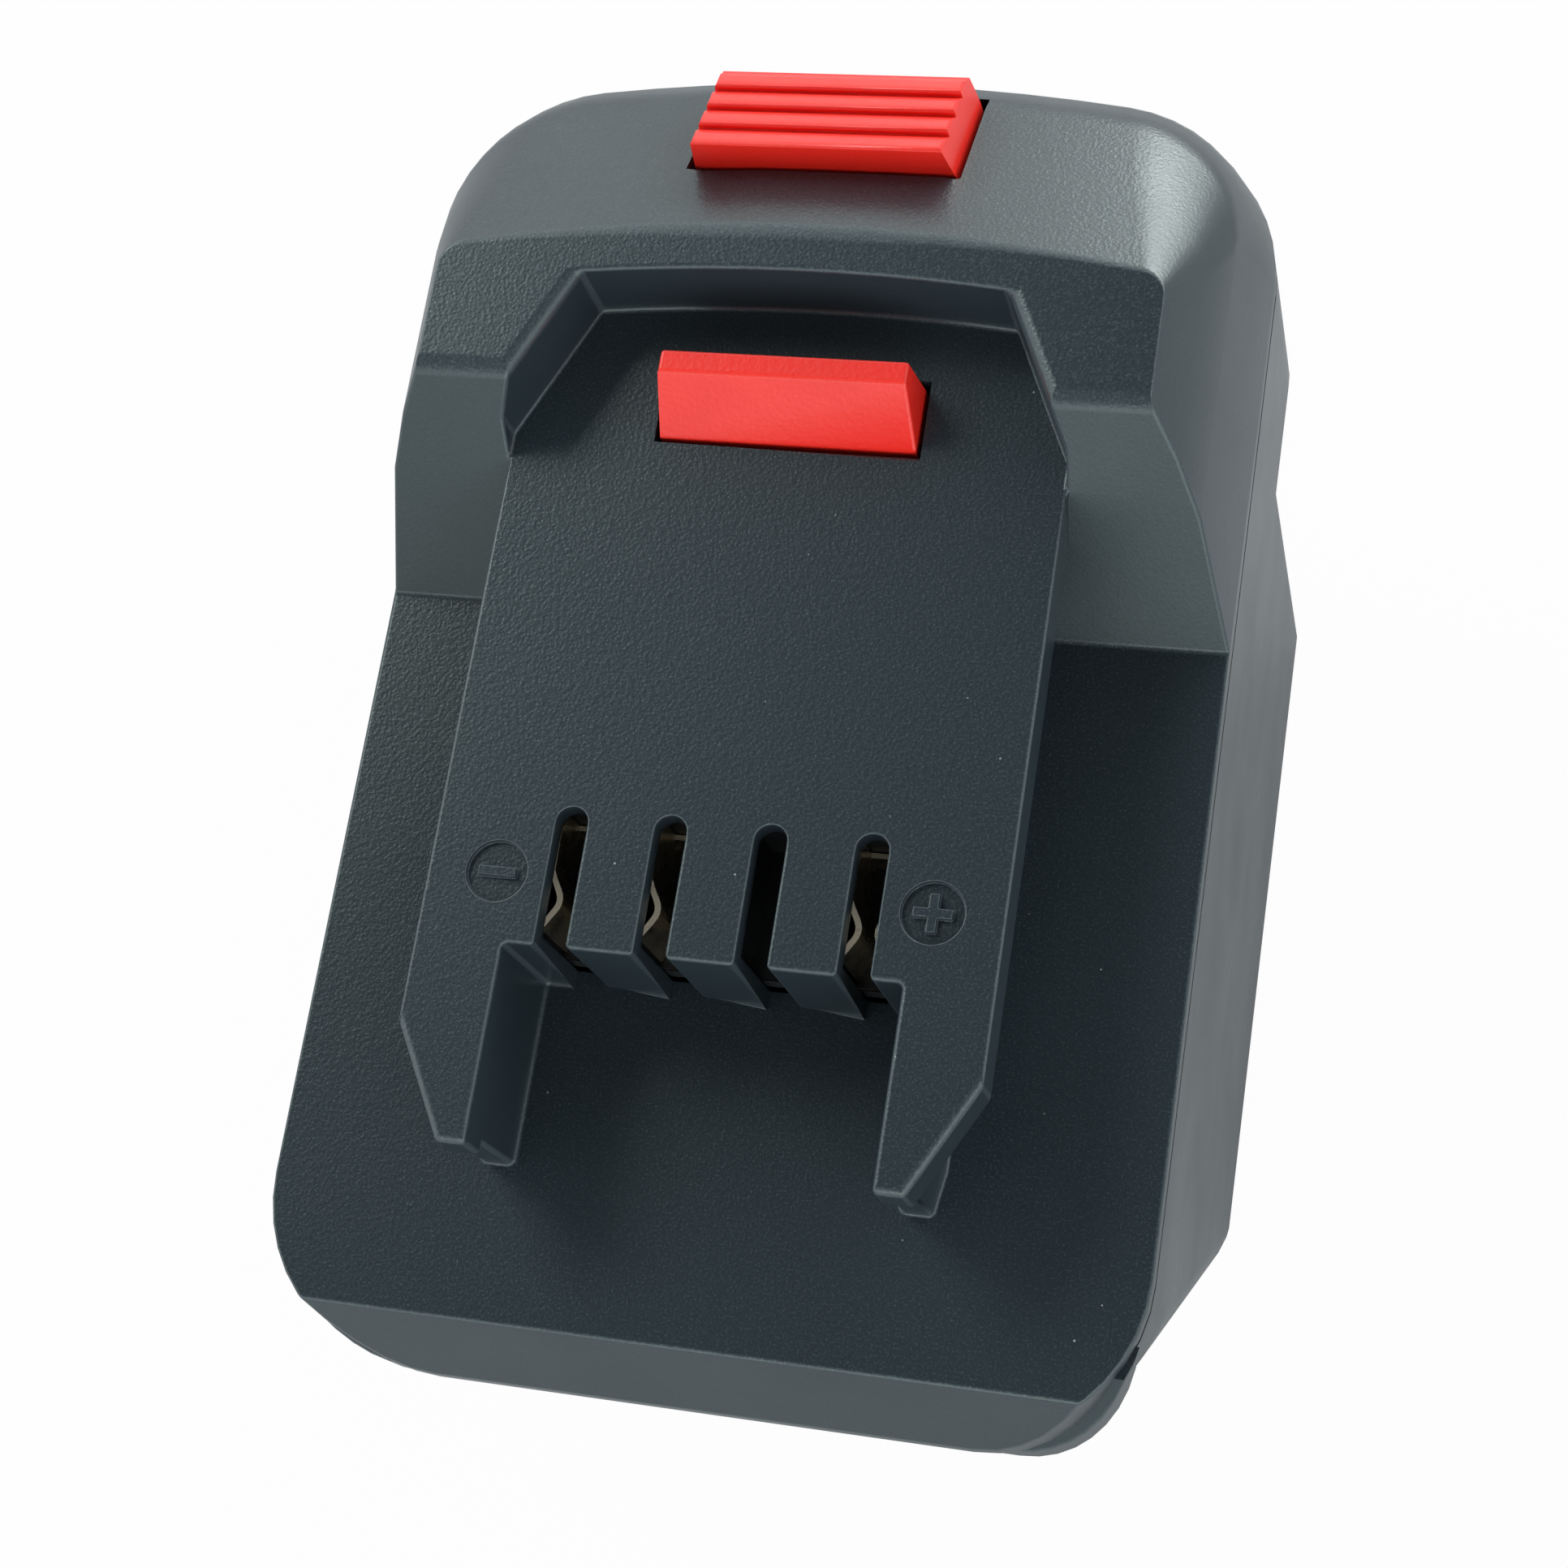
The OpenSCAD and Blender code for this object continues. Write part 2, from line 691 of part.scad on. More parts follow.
// Lower half of the head, over the finger space
module under_form(inset) {
    intersection() {
        translate([0, 0, z_under + inset])
            linear_extrude(deck_h)
                polygon(head_outline(half_w - inset, y_ramp, y_head - inset, head_r - inset));
        along_y(2 * body_l)
            polygon(low_round(inset - half_w, half_w - inset, z_under + inset, 2 * deck_h, edge_r));
        along_x(2 * body_w)
            polygon(low_round(y_ramp - head_r, y_head - inset, z_under + inset, 2 * deck_h, edge_r));
    }
}

module socket_plan(grow) {
    translate([0, socket_y])
        polygon(rounded(socket_w / 2 + grow, -socket_l / 2 - grow, socket_l / 2 + grow, socket_r + grow,
            socket_r + grow));
}

module columns() {
    for (x = [-column_x, column_x], y = [y_column_foot, y_column_front])
        translate([x, y, wall / 2])
            cylinder(d = column_d, h = z_column - wall / 2);
    for (x = [-column_head_x, column_head_x])
        translate([x, y_column_head, z_under + wall / 2])
            cylinder(d = column_d, h = z_column_head - z_under - wall / 2);
}

module column_bores() {
    clear_d = screw_d + 2 * pass_fit;
    bore_d = screw_head_d + 2 * head_fit;
    for (x = [-column_x, column_x], y = [y_column_foot, y_column_front]) {
        translate([x, y, -over])
            cylinder(d = bore_d, h = z_column - seat_h + over);
        translate([x, y, z_column - seat_h - over])
            cylinder(d = clear_d, h = seat_h + 2 * over);
    }
    for (x = [-column_head_x, column_head_x]) {
        translate([x, y_column_head, z_under - over])
            cylinder(d = bore_d, h = z_column_head - seat_h - z_under + over);
        translate([x, y_column_head, z_column_head - seat_h - over])
            cylinder(d = clear_d, h = seat_h + 2 * over);
    }
}

module rear_shell() {
    color(charcoal)
        difference() {
            union() {
                difference() {
                    intersection() {
                        union() {
                            tub_form(0);
                            lip_form(0);
                            under_form(0);
                        }
                        below_seam();
                    }
                    tub_form(wall);
                    lip_form(wall);
                    under_form(wall);
                }
                columns();
                // Bosses that carry the socket sleeve
                for (x = [-sleeve_ear_x, sleeve_ear_x], y = [-sleeve_ear_y, sleeve_ear_y])
                    translate([x, socket_y + y, wall / 2])
                        cylinder(d = ear_d, h = z_sleeve_ear - wall / 2);
                // Seats and pins of the return springs
                for (x = [-spring_pitch / 2, spring_pitch / 2]) {
                    translate([x, y_spring, z_under + wall / 2])
                        cylinder(d = spring_d + 2 * spring_wire + over, h = z_spring - z_under - wall / 2);
                    translate([x, y_spring, z_spring - over])
                        cylinder(d = pin_d, h = pin_l + over);
                }
            }
            // Mouth of the battery socket
            translate([0, 0, -over])
                linear_extrude(wall + 2 * over)
                    socket_plan(0);
            column_bores();
            for (x = [-sleeve_ear_x, sleeve_ear_x], y = [-sleeve_ear_y, sleeve_ear_y])
                translate([x, socket_y + y, z_sleeve_ear + ear_t - small_l - tip_gap])
                    cylinder(d = small_d + 2 * fit, h = small_l + over);
        }
}

// Rounded rib from its front to the groove behind it: shares of the rib spacing and of the rib depth
rib_shape = [[0, 0.45], [0.08, 0.12], [0.2, 0], [0.45, 0], [0.68, 0.4], [0.9, 1], [0.97, 1]];

// Button profile in Y and Z with a row of ribs down its slope
module button_profile() {
    rib_l = button_l / ribs;
    drop = button_fall / ribs;
    rib_points = [for (i = [0 : ribs - 1], q = rib_shape)
        let (t = i + q[0])
            [y_button + t * rib_l, z_button - t * drop - q[1] * rib_depth]];
    polygon(concat(rib_points, [[y_button + button_l, z_button - button_fall - rib_depth],
        [y_button + button_l, z_arm], [y_button, z_arm]]));
}

module release_latch() {
    color(red)
        union() {
            // Arm under the head face
            translate([-arm_w / 2, y_wedge - wedge_l, z_arm])
                cube([arm_w, y_button + button_l - y_wedge + wedge_l, arm_t]);
            // Wedge with its ramp towards the mouth
            intersection() {
                along_x(wedge_w)
                    polygon([[y_wedge - wedge_l, z_arm], [y_wedge, z_arm], [y_wedge - wedge_lean, z_wedge],
                        [y_wedge - wedge_land - wedge_lean, z_wedge],
                        [y_wedge - wedge_l, z_top - wedge_sink]]);
                along_y(3 * body_l)
                    polygon([[-wedge_w / 2, z_arm - over], [wedge_w / 2, z_arm - over],
                        [wedge_w / 2, z_top], [wedge_w / 2 - wedge_bevel, z_wedge + eps],
                        [wedge_bevel - wedge_w / 2, z_wedge + eps], [-wedge_w / 2, z_top]]);
            }
            // Button with ribbed top and spreading ends
            intersection() {
                along_x(body_w)
                    button_profile();
                translate([0, y_button, z_button])
                    rotate([-button_slope, 0, 0])
                        along_y(3 * body_l)
                            polygon([[-button_foot / 2, -body_l], [button_foot / 2, -body_l],
                                [button_foot / 2, -button_skirt], [button_w / 2, -button_edge],
                                [button_w / 2 - button_bevel, eps], [button_bevel - button_w / 2, eps],
                                [-button_w / 2, -button_edge], [-button_foot / 2, -button_skirt]]);
                translate([0, 0, z_arm])
                    linear_extrude(head_h)
                        polygon(rounded(button_foot / 2, y_button, y_button + button_l, button_bevel,
                            button_r));
            }
            // Pins that centre the springs
            for (x = [-spring_pitch / 2, spring_pitch / 2])
                translate([x, y_spring, z_arm - pin_l])
                    cylinder(d = pin_d, h = pin_l + over);
        }
}

// Return spring as one coiled wire between its two seats
coil_rings = 8;
coil_rise = (spring_l - 2 * seat_gap - spring_wire) / spring_turns;
coil_points = [for (i = [0 : coil_rings * spring_turns]) let (t = i / coil_rings)
    [spring_d / 2 * cos(360 * t), spring_d / 2 * sin(360 * t), seat_gap + spring_wire / 2 + coil_rise * t]];
echo(least_spring_gap = coil_rise - spring_wire);

module spring_coil(x) {
    translate([x, y_spring, z_spring])
        loft([for (i = [0 : len(coil_points) - 1]) let (a = 360 * i / coil_rings)
            ring(coil_points[i], [cos(a), sin(a), 0], [0, 0, 1], spring_wire / 2, 6)]);
}

module latch_spring_left() {
    color(steel)
        spring_coil(-spring_pitch / 2);
}

module latch_spring_right() {
    color(steel)
        spring_coil(spring_pitch / 2);
}

module contact_carrier() {
    carrier_w = 2 * (room_in - carrier_gap);
    color(dark_grey)
        difference() {
            union() {
                translate([-carrier_w / 2, y_carrier, z_carrier])
                    cube([carrier_w, y_carrier_end - y_carrier, z_roof - carrier_gap - z_carrier]);
                for (x = [-slot_pitch, slot_pitch]) {
                    translate([x, y_ear, z_carrier])
                        cylinder(d = ear_d, h = ear_t);
                    translate([x - ear_d / 2, y_carrier_end - over, z_carrier])
                        cube([ear_d, y_ear - y_carrier_end + over, ear_t]);
                }
            }
            for (x = slot_x) {
                translate([x - chamber_w / 2, y_carrier - over, z_carrier + carrier_floor])
                    cube([chamber_w, y_chamber - y_carrier + over, rail_h]);
                // Way down for the tail of the clip
                translate([x - tail_w / 2 - fit, y_tail - sheet_t / 2 - fit, z_carrier - over])
                    cube([tail_w + 2 * fit, sheet_t + 2 * fit, carrier_floor + 2 * over]);
            }
            for (x = [-slot_pitch, slot_pitch])
                translate([x, y_ear, z_carrier - over])
                    cylinder(d = small_d + 2 * pass_fit, h = ear_t + 2 * over);
        }
}

// Length over which a leaf draws in to its throat, reach of the bend there and its steps
throat_l = 2.6;
bend_l = 0.9;
bend_steps = 4;
// Height of the web that joins two leaves, as a share of their height
web_share = 0.4;

// Strip of contact sheet that follows a path in plan
module sheet_strip(path) {
    for (i = [0 : len(path) - 2]) {
        run = path[i + 1] - path[i];
        translate(path[i])
            rotate([0, 0, atan2(run[1], run[0])])
                translate([-sheet_t / 2, -sheet_t / 2])
                    square([norm(run) + sheet_t, sheet_t]);
    }
}

// Points of a bend at b between a and c, which starts and ends a short way from b
function rounded_bend(a, b, c) = let (
        p = b + bend_l * (a - b) / norm(a - b),
        q = b + bend_l * (c - b) / norm(c - b))
    [for (i = [0 : bend_steps]) let (t = i / bend_steps) mix(mix(p, b, t), mix(b, q, t), t)];

// Two leaves that narrow to a throat, joined by a web with a tail below
module clip(x) {
    back = chamber_w / 2 - fit - sheet_t / 2;
    inner = [back, y_mouth + throat_y + throat_l];
    bend = [throat / 2 + sheet_t / 2, y_mouth + throat_y];
    tip = [back, y_tail - leaf_l];
    leaf = concat([[back, y_tail], inner], rounded_bend(inner, bend, tip), [tip]);
    z_leaf = z_carrier + carrier_floor + fit;
    color(nickel)
        translate([x, 0, 0])
            union() {
                translate([0, 0, z_leaf])
                    linear_extrude(leaf_h)
                        union() {
                            sheet_strip(leaf);
                            mirror([1, 0])
                                sheet_strip(leaf);
                        }
                translate([0, 0, z_leaf])
                    linear_extrude(leaf_h * web_share)
                        sheet_strip([[-back, y_tail], [back, y_tail]]);
                translate([-tail_w / 2, y_tail - sheet_t / 2, z_tail])
                    cube([tail_w, sheet_t, z_leaf - z_tail + over]);
            }
}

module negative_clip() {
    clip(slot_x[0]);
}

module signal_clip() {
    clip(slot_x[1]);
}

module positive_clip() {
    clip(slot_x[3]);
}

module socket_sleeve() {
    color(dark_grey)
        difference() {
            union() {
                translate([0, 0, wall])
                    linear_extrude(z_ceiling - wall)
                        socket_plan(sleeve_t);
                for (x = [-sleeve_ear_x, sleeve_ear_x], y = [-sleeve_ear_y, sleeve_ear_y])
                    translate([x, socket_y + y, z_sleeve_ear])
                        cylinder(d = ear_d, h = ear_t);
                for (y = [-sleeve_ear_y, sleeve_ear_y])
                    translate([-sleeve_ear_x, socket_y + y - ear_d / 2, z_sleeve_ear])
                        cube([2 * sleeve_ear_x, ear_d, ear_t]);
                for (x = [-block_ear_x, block_ear_x])
                    translate([x, y_block, z_ceiling - over])
                        cylinder(d = ear_d, h = block_h - ear_t + over);
            }
            translate([0, 0, wall - over])
                linear_extrude(socket_h - wall + over)
                    socket_plan(0);
            // Catch windows for the hooks of the battery
            translate([-socket_w, socket_y - catch_l / 2, catch_z])
                cube([2 * socket_w, catch_l, catch_h]);
            // Ways through for the blades
            for (i = [-1 : 1])
                translate([i * blade_pitch, y_block, socket_h + sleeve_t / 2])
                    cube([blade_t + 2 * head_fit, blade_w + 2 * head_fit, sleeve_t + 2 * over],
                        center = true);
            for (x = [-sleeve_ear_x, sleeve_ear_x], y = [-sleeve_ear_y, sleeve_ear_y])
                translate([x, socket_y + y, z_sleeve_ear - over])
                    cylinder(d = small_d + 2 * pass_fit, h = ear_t + 2 * over);
            for (x = [-block_ear_x, block_ear_x])
                translate([x, y_block, z_block - small_l - tip_gap])
                    cylinder(d = small_d + 2 * fit, h = small_l);
        }
}

module terminal_block() {
    color(charcoal)
        difference() {
            union() {
                translate([-blade_pitch - block_side, y_block - block_l / 2, z_ceiling])
                    cube([2 * (blade_pitch + block_side), block_l, block_h]);
                for (x = [-block_ear_x, block_ear_x])
                    translate([x, y_block, z_block - ear_t])
                        cylinder(d = ear_d, h = ear_t);
                translate([-block_ear_x, y_block - ear_d / 2, z_block - ear_t])
                    cube([2 * block_ear_x, ear_d, ear_t]);
            }
            for (i = [-1 : 1])
                translate([i * blade_pitch - blade_t / 2 - fit, y_block - blade_w / 2 - fit,
                    z_ceiling - over])
                    cube([blade_t + 2 * fit, blade_w + 2 * fit, block_h + 2 * over]);
            for (x = [-block_ear_x, block_ear_x])
                translate([x, y_block, z_ceiling])
                    cylinder(d = small_d + 2 * pass_fit, h = block_h + over);
        }
}

// Blade with a shoulder that rests on the block and a tab for its lead
module blade(i) {
    color(nickel)
        translate([i * blade_pitch - blade_t / 2, y_block, 0]) {
            translate([0, -blade_w / 2, socket_h - blade_reach])
                cube([blade_t, blade_w, z_block - socket_h + blade_reach + eps]);
            translate([0, -blade_w / 2 - tab_side, z_block])
                cube([blade_t, blade_w + 2 * tab_side, tab_h]);
        }
}

module negative_blade() {
    blade(-1);
}

module signal_blade() {
    blade(0);
}

module positive_blade() {
    blade(1);
}

// Lead from the tab of a blade to the tail of a clip, leaving and arriving upright
lead_steps = 20;
lead_bow = 6;
function bezier(p, t) = p[0] * (1 - t) ^ 3 + 3 * p[1] * t * (1 - t) ^ 2
    + 3 * p[2] * t ^ 2 * (1 - t) + p[3] * t ^ 3;
module lead(i, x) {
    start = [i * blade_pitch, y_block, z_blade];
    end = [x, y_tail, z_tail];
    p = [start, start + [0, 0, lead_bow], end - [0, 0, lead_bow], end];
    points = [for (k = [0 : lead_steps]) bezier(p, k / lead_steps)];
    side = cross([0, 0, 1], end - start) / norm(cross([0, 0, 1], end - start));
    loft([for (k = [0 : lead_steps]) let (
            d = k == 0 || k == lead_steps ? [0, 0, 1] : points[k + 1] - points[k - 1],
            u = cross(side, d) / norm(cross(side, d)))
        ring(points[k], u, side, lead_d / 2, 8)]);
}

module negative_lead() {
    color("black")
        lead(-1, slot_x[0]);
}

module signal_lead() {
    color("gold")
        lead(0, slot_x[1]);
}

module positive_lead() {
    color("firebrick")
        lead(1, slot_x[3]);
}

// Cross recess of a screw as shares of its head
cross_l = 0.6;
cross_w = 0.14;
cross_h = 0.55;

// Screw with a cross recess, head below and point up
module screw(d, head_d, head_h, length) {
    difference() {
        union() {
            translate([0, 0, -head_h])
                cylinder(d = head_d, h = head_h);
            translate([0, 0, -eps])
                cylinder(d = d, h = length + eps);
        }
        for (a = [0, 90])
            rotate([0, 0, a])
                translate([-head_d * cross_l / 2, -head_d * cross_w / 2, -head_h - over])
                    cube([head_d * cross_l, head_d * cross_w, head_h * cross_h + over]);
    }
}

module housing_screws() {
    color(steel) {
        for (x = [-column_x, column_x], y = [y_column_foot, y_column_front])
            translate([x, y, z_column - seat_h])
                screw(screw_d, screw_head_d, screw_head_h, screw_l);
        for (x = [-column_head_x, column_head_x])
            translate([x, y_column_head, z_column_head - seat_h])
                screw(screw_d, screw_head_d, screw_head_h, screw_l);
    }
}

module carrier_screws() {
    color(steel)
        for (x = [-slot_pitch, slot_pitch])
            translate([x, y_ear, z_carrier])
                screw(small_d, small_head_d, small_head_h, small_l);
}

module sleeve_screws() {
    color(steel)
        for (x = [-sleeve_ear_x, sleeve_ear_x], y = [-sleeve_ear_y, sleeve_ear_y])
            translate([x, socket_y + y, z_sleeve_ear + ear_t])
                mirror([0, 0, 1])
                    screw(small_d, small_head_d, small_head_h, small_l);
}

module terminal_screws() {
    color(steel)
        for (x = [-block_ear_x, block_ear_x])
            translate([x, y_block, z_block])
                mirror([0, 0, 1])
                    screw(small_d, small_head_d, small_head_h, small_l);
}

front_shell();
rear_shell();
release_latch();
latch_spring_left();
latch_spring_right();
contact_carrier();
negative_clip();
signal_clip();
positive_clip();
socket_sleeve();
terminal_block();
negative_blade();
signal_blade();
positive_blade();
negative_lead();
signal_lead();
positive_lead();
housing_screws();
carrier_screws();
sleeve_screws();
terminal_screws();
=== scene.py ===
"""Dress the battery adapter: rounded mouldings, coiled springs, finishes, studio and camera.

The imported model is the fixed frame. Every moulded piece is shown by a copy of its solid whose edges are
rounded as a mould rounds them, and every piece gets the finish of its real material.
"""

from __future__ import annotations

import json
import logging
import math
from collections.abc import Mapping
from dataclasses import dataclass
from enum import Enum
from typing import Any

import bmesh
import bpy
from mathutils import Matrix, Vector
from mathutils.bvhtree import BVHTree
from mathutils.kdtree import KDTree

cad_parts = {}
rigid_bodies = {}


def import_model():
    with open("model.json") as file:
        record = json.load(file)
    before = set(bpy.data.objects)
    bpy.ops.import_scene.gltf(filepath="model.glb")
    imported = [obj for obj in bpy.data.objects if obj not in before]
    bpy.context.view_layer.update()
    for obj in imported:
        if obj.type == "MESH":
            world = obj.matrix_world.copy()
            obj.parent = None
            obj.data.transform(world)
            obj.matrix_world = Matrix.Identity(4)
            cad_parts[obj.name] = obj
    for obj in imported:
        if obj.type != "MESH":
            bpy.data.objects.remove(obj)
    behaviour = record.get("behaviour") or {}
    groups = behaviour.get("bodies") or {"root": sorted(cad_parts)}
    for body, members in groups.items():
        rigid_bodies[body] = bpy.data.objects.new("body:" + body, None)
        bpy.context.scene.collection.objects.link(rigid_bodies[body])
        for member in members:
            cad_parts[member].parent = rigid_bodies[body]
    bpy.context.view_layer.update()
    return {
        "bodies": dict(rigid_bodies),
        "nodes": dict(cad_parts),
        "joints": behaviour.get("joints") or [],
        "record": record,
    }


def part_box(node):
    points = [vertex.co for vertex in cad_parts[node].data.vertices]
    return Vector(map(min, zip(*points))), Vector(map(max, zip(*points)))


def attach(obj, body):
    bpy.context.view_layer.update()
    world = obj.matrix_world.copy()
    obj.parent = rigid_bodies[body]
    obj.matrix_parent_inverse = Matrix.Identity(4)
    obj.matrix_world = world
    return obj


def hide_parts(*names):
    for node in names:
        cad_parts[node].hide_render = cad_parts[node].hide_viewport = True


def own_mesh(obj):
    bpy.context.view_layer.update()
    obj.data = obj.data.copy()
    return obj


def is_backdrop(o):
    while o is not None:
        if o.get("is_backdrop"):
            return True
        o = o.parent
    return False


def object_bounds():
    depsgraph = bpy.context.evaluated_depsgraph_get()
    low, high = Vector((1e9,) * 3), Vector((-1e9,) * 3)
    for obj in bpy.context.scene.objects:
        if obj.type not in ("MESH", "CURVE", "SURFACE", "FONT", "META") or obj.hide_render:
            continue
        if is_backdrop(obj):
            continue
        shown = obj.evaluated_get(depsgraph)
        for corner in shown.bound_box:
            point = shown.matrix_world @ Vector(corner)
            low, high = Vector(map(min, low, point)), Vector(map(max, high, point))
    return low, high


LOG = logging.getLogger("battery_adapter")
MM = 0.001
# Mesh attribute that is 1 along the rounded edges, which are painted pale, partly as wear and partly as a
# painted highlight
WEAR_AND_HIGHLIGHT = "rubbed"
# Lengths in metres below this one are no lengths
NO_LENGTH = 1e-9

Frame = dict[str, Any]
Socket = bpy.types.NodeSocket


class Body(Enum):
    """The two bodies of the adapter."""

    HOUSING = "housing"
    LATCH = "latch"


class Facing(Enum):
    """Share of the mould's grain that a face shows."""

    ALL_OVER = "all over"
    UPWARD_ONLY = "strong on level faces, faint on steep ones"


def linear(hex_colour: str) -> tuple[float, float, float, float]:
    """Turn an sRGB hex colour into linear light.

    Args:
        hex_colour: Colour such as "#2b3236".

    Returns:
        Red, green, blue and an alpha of 1.
    """
    values = [int(hex_colour[i:i + 2], 16) / 255 for i in (1, 3, 5)]
    light = [v / 12.92 if v <= 0.04045 else ((v + 0.055) / 1.055) ** 2.4 for v in values]
    return light[0], light[1], light[2], 1.0


def add(tree: bpy.types.NodeTree, kind: str, inputs: Mapping[str | int, Any] | None = None,
        **settings: Any) -> bpy.types.Node:
    """Add one node with its settings and links.

    Args:
        tree: Node tree that takes the node.
        kind: Type of the node, without its prefix.
        inputs: Socket names or numbers, each with a plain value or an output to link.
        settings: Properties of the node itself.

    Returns:
        The new node.
    """
    node = tree.nodes.new("ShaderNode" + kind)
    for key, value in settings.items():
        setattr(node, key, value)
    for key, value in (inputs or {}).items():
        if isinstance(value, Socket):
            tree.links.new(value, node.inputs[key])
        else:
            node.inputs[key].default_value = value
    return node


def new_tree(name: str) -> tuple[bpy.types.Material, bpy.types.NodeTree]:
    """Make an empty material.

    Args:
        name: Name of the material.

    Returns:
        The material and its node tree.
    """
    material = bpy.data.materials.new(name)
    material.use_nodes = True
    material.node_tree.nodes.clear()
    return material, material.node_tree


@dataclass(frozen=True)
class MouldedPlastic:
    """Injection-moulded plastic: a grained skin that is burnished along its edges, which are also painted
    pale as a highlight.

    The grain of the mould scatters the light into a broad sheen. Clouds of slightly different gloss come
    from the flow of the melt, and handling leaves a little dust and pale edges, which are partly wear and
    partly a painted highlight.
    """

    name: str
    colour: str
    cloud: str
    # Pale colour of the edges, partly wear and partly a painted highlight, also used for the grit specks
    rubbed: str
    ior: float
    smooth_roughness: float
    grain_roughness: float
    # The real grain is about 0.1 mm, too fine for the render, so it is drawn this coarse
    grain_mm: float
    grain_depth_mm: float
    facing: Facing = Facing.ALL_OVER
    faint_grain: float = 1.0
    # Upward part of the normal at which a face counts as steep and as level
    steep_level: tuple[float, float] = (0.6, 0.85)
    cloud_mm: float = 14.0
    # Difference of roughness between the clouds
    cloud_gloss: float = 0.14
    speckle: float = 0.0
    # Strength of the pale edges, which are partly wear and partly a painted highlight
    rub: float = 0.5
    sheen_tint: str = "#ffffff"
    dust: float = 0.0
    dust_spacing_mm: float = 1.7
    dust_mm: float = 0.1
    dust_colour: str = "#8f9898"

    def build(self) -> bpy.types.Material:
        """Make the material.

        Returns:
            The material.
        """
        material, tree = new_tree(self.name)
        place = add(tree, "TexCoord").outputs["Object"]
        mm = add(tree, "VectorMath", {0: place, "Scale": 1 / MM}, operation="SCALE").outputs[0]
        surface = add(tree, "NewGeometry")
        level = add(tree, "SeparateXYZ", {0: surface.outputs["Normal"]}).outputs["Z"]
        low = self.faint_grain if self.facing is Facing.UPWARD_ONLY else 1.0
        steep, flat = self.steep_level
        grained = add(tree, "MapRange", {0: level, 1: steep, 2: flat, 3: low, 4: 1.0}).outputs[0]

        clouds = add(tree, "TexNoise", {"Vector": mm, "Scale": 1 / self.cloud_mm, "Detail": 4.0}).outputs[0]
        fine = add(tree, "TexNoise", {"Vector": mm, "Scale": 1 / self.grain_mm, "Detail": 2.0,
                                      "Roughness": 0.6}).outputs[0]
        pits = add(tree, "TexVoronoi", {"Vector": mm, "Scale": 0.6 / self.grain_mm, "Smoothness": 0.6},
                   feature="SMOOTH_F1").outputs["Distance"]
        relief = add(tree, "Math", {0: fine, 1: pits}, operation="ADD").outputs[0]
        bump = add(tree, "Bump", {"Strength": grained, "Distance": self.grain_depth_mm * MM,
                                  "Height": relief}).outputs[0]

        ramp = add(tree, "MapRange", {0: clouds, 1: 0.35, 2: 0.65}).outputs[0]
        colour = add(tree, "Mix", {0: ramp, 6: linear(self.colour), 7: linear(self.cloud)},
                     data_type="RGBA").outputs[2]
        if self.speckle > 0:
            grit = add(tree, "MapRange", {0: fine, 1: 0.52, 2: 0.72, 4: self.speckle}).outputs[0]
            seen = add(tree, "Math", {0: grit, 1: grained}, operation="MULTIPLY").outputs[0]
            colour = add(tree, "Mix", {0: seen, 6: colour, 7: linear(self.rubbed)},
                         data_type="RGBA").outputs[2]
        # Rounded edges turn pale: partly wear, partly a painted highlight
        edge = self._wear_and_highlight_edges(tree, fine)
        colour = add(tree, "Mix", {0: edge, 6: colour, 7: linear(self.rubbed)},
                     data_type="RGBA").outputs[2]
        rough = add(tree, "MapRange", {0: grained, 1: low - 0.001, 2: 1.0, 3: self.smooth_roughness,
                                       4: self.grain_roughness}).outputs[0]
        rough = add(tree, "Math", {0: clouds, 1: self.cloud_gloss, 2: rough},
                    operation="MULTIPLY_ADD").outputs[0]
        rough = add(tree, "Math", {0: rough, 1: self.cloud_gloss / 2}, operation="SUBTRACT").outputs[0]
        if self.dust > 0:
            speck = self._specks(tree, mm, level)
            colour = add(tree, "Mix", {0: speck, 6: colour, 7: linear(self.dust_colour)},
                         data_type="RGBA").outputs[2]
            rough = add(tree, "Math", {0: rough, 1: speck}, operation="MAXIMUM").outputs[0]
        shader = add(tree, "BsdfPrincipled", {"Base Color": colour, "Roughness": rough, "IOR": self.ior,
                                              "Specular Tint": linear(self.sheen_tint), "Normal": bump})
        add(tree, "OutputMaterial", {0: shader.outputs[0]})
        return material

    def _wear_and_highlight_edges(self, tree: bpy.types.NodeTree, broken_by: Socket) -> Socket:
        """Mask of the pale edges, partly wear and partly a painted highlight, broken up by the grain.

        Args:
            tree: Node tree of the material.
            broken_by: Pattern that breaks the pale edges up.

        Returns:
            The mask.
        """
        edge = add(tree, "Attribute", attribute_name=WEAR_AND_HIGHLIGHT).outputs["Fac"]
        patchy = add(tree, "MapRange", {0: broken_by, 1: 0.3, 2: 0.6, 3: 0.45 * self.rub,
                                        4: self.rub}).outputs[0]
        return add(tree, "Math", {0: edge, 1: patchy}, operation="MULTIPLY").outputs[0]

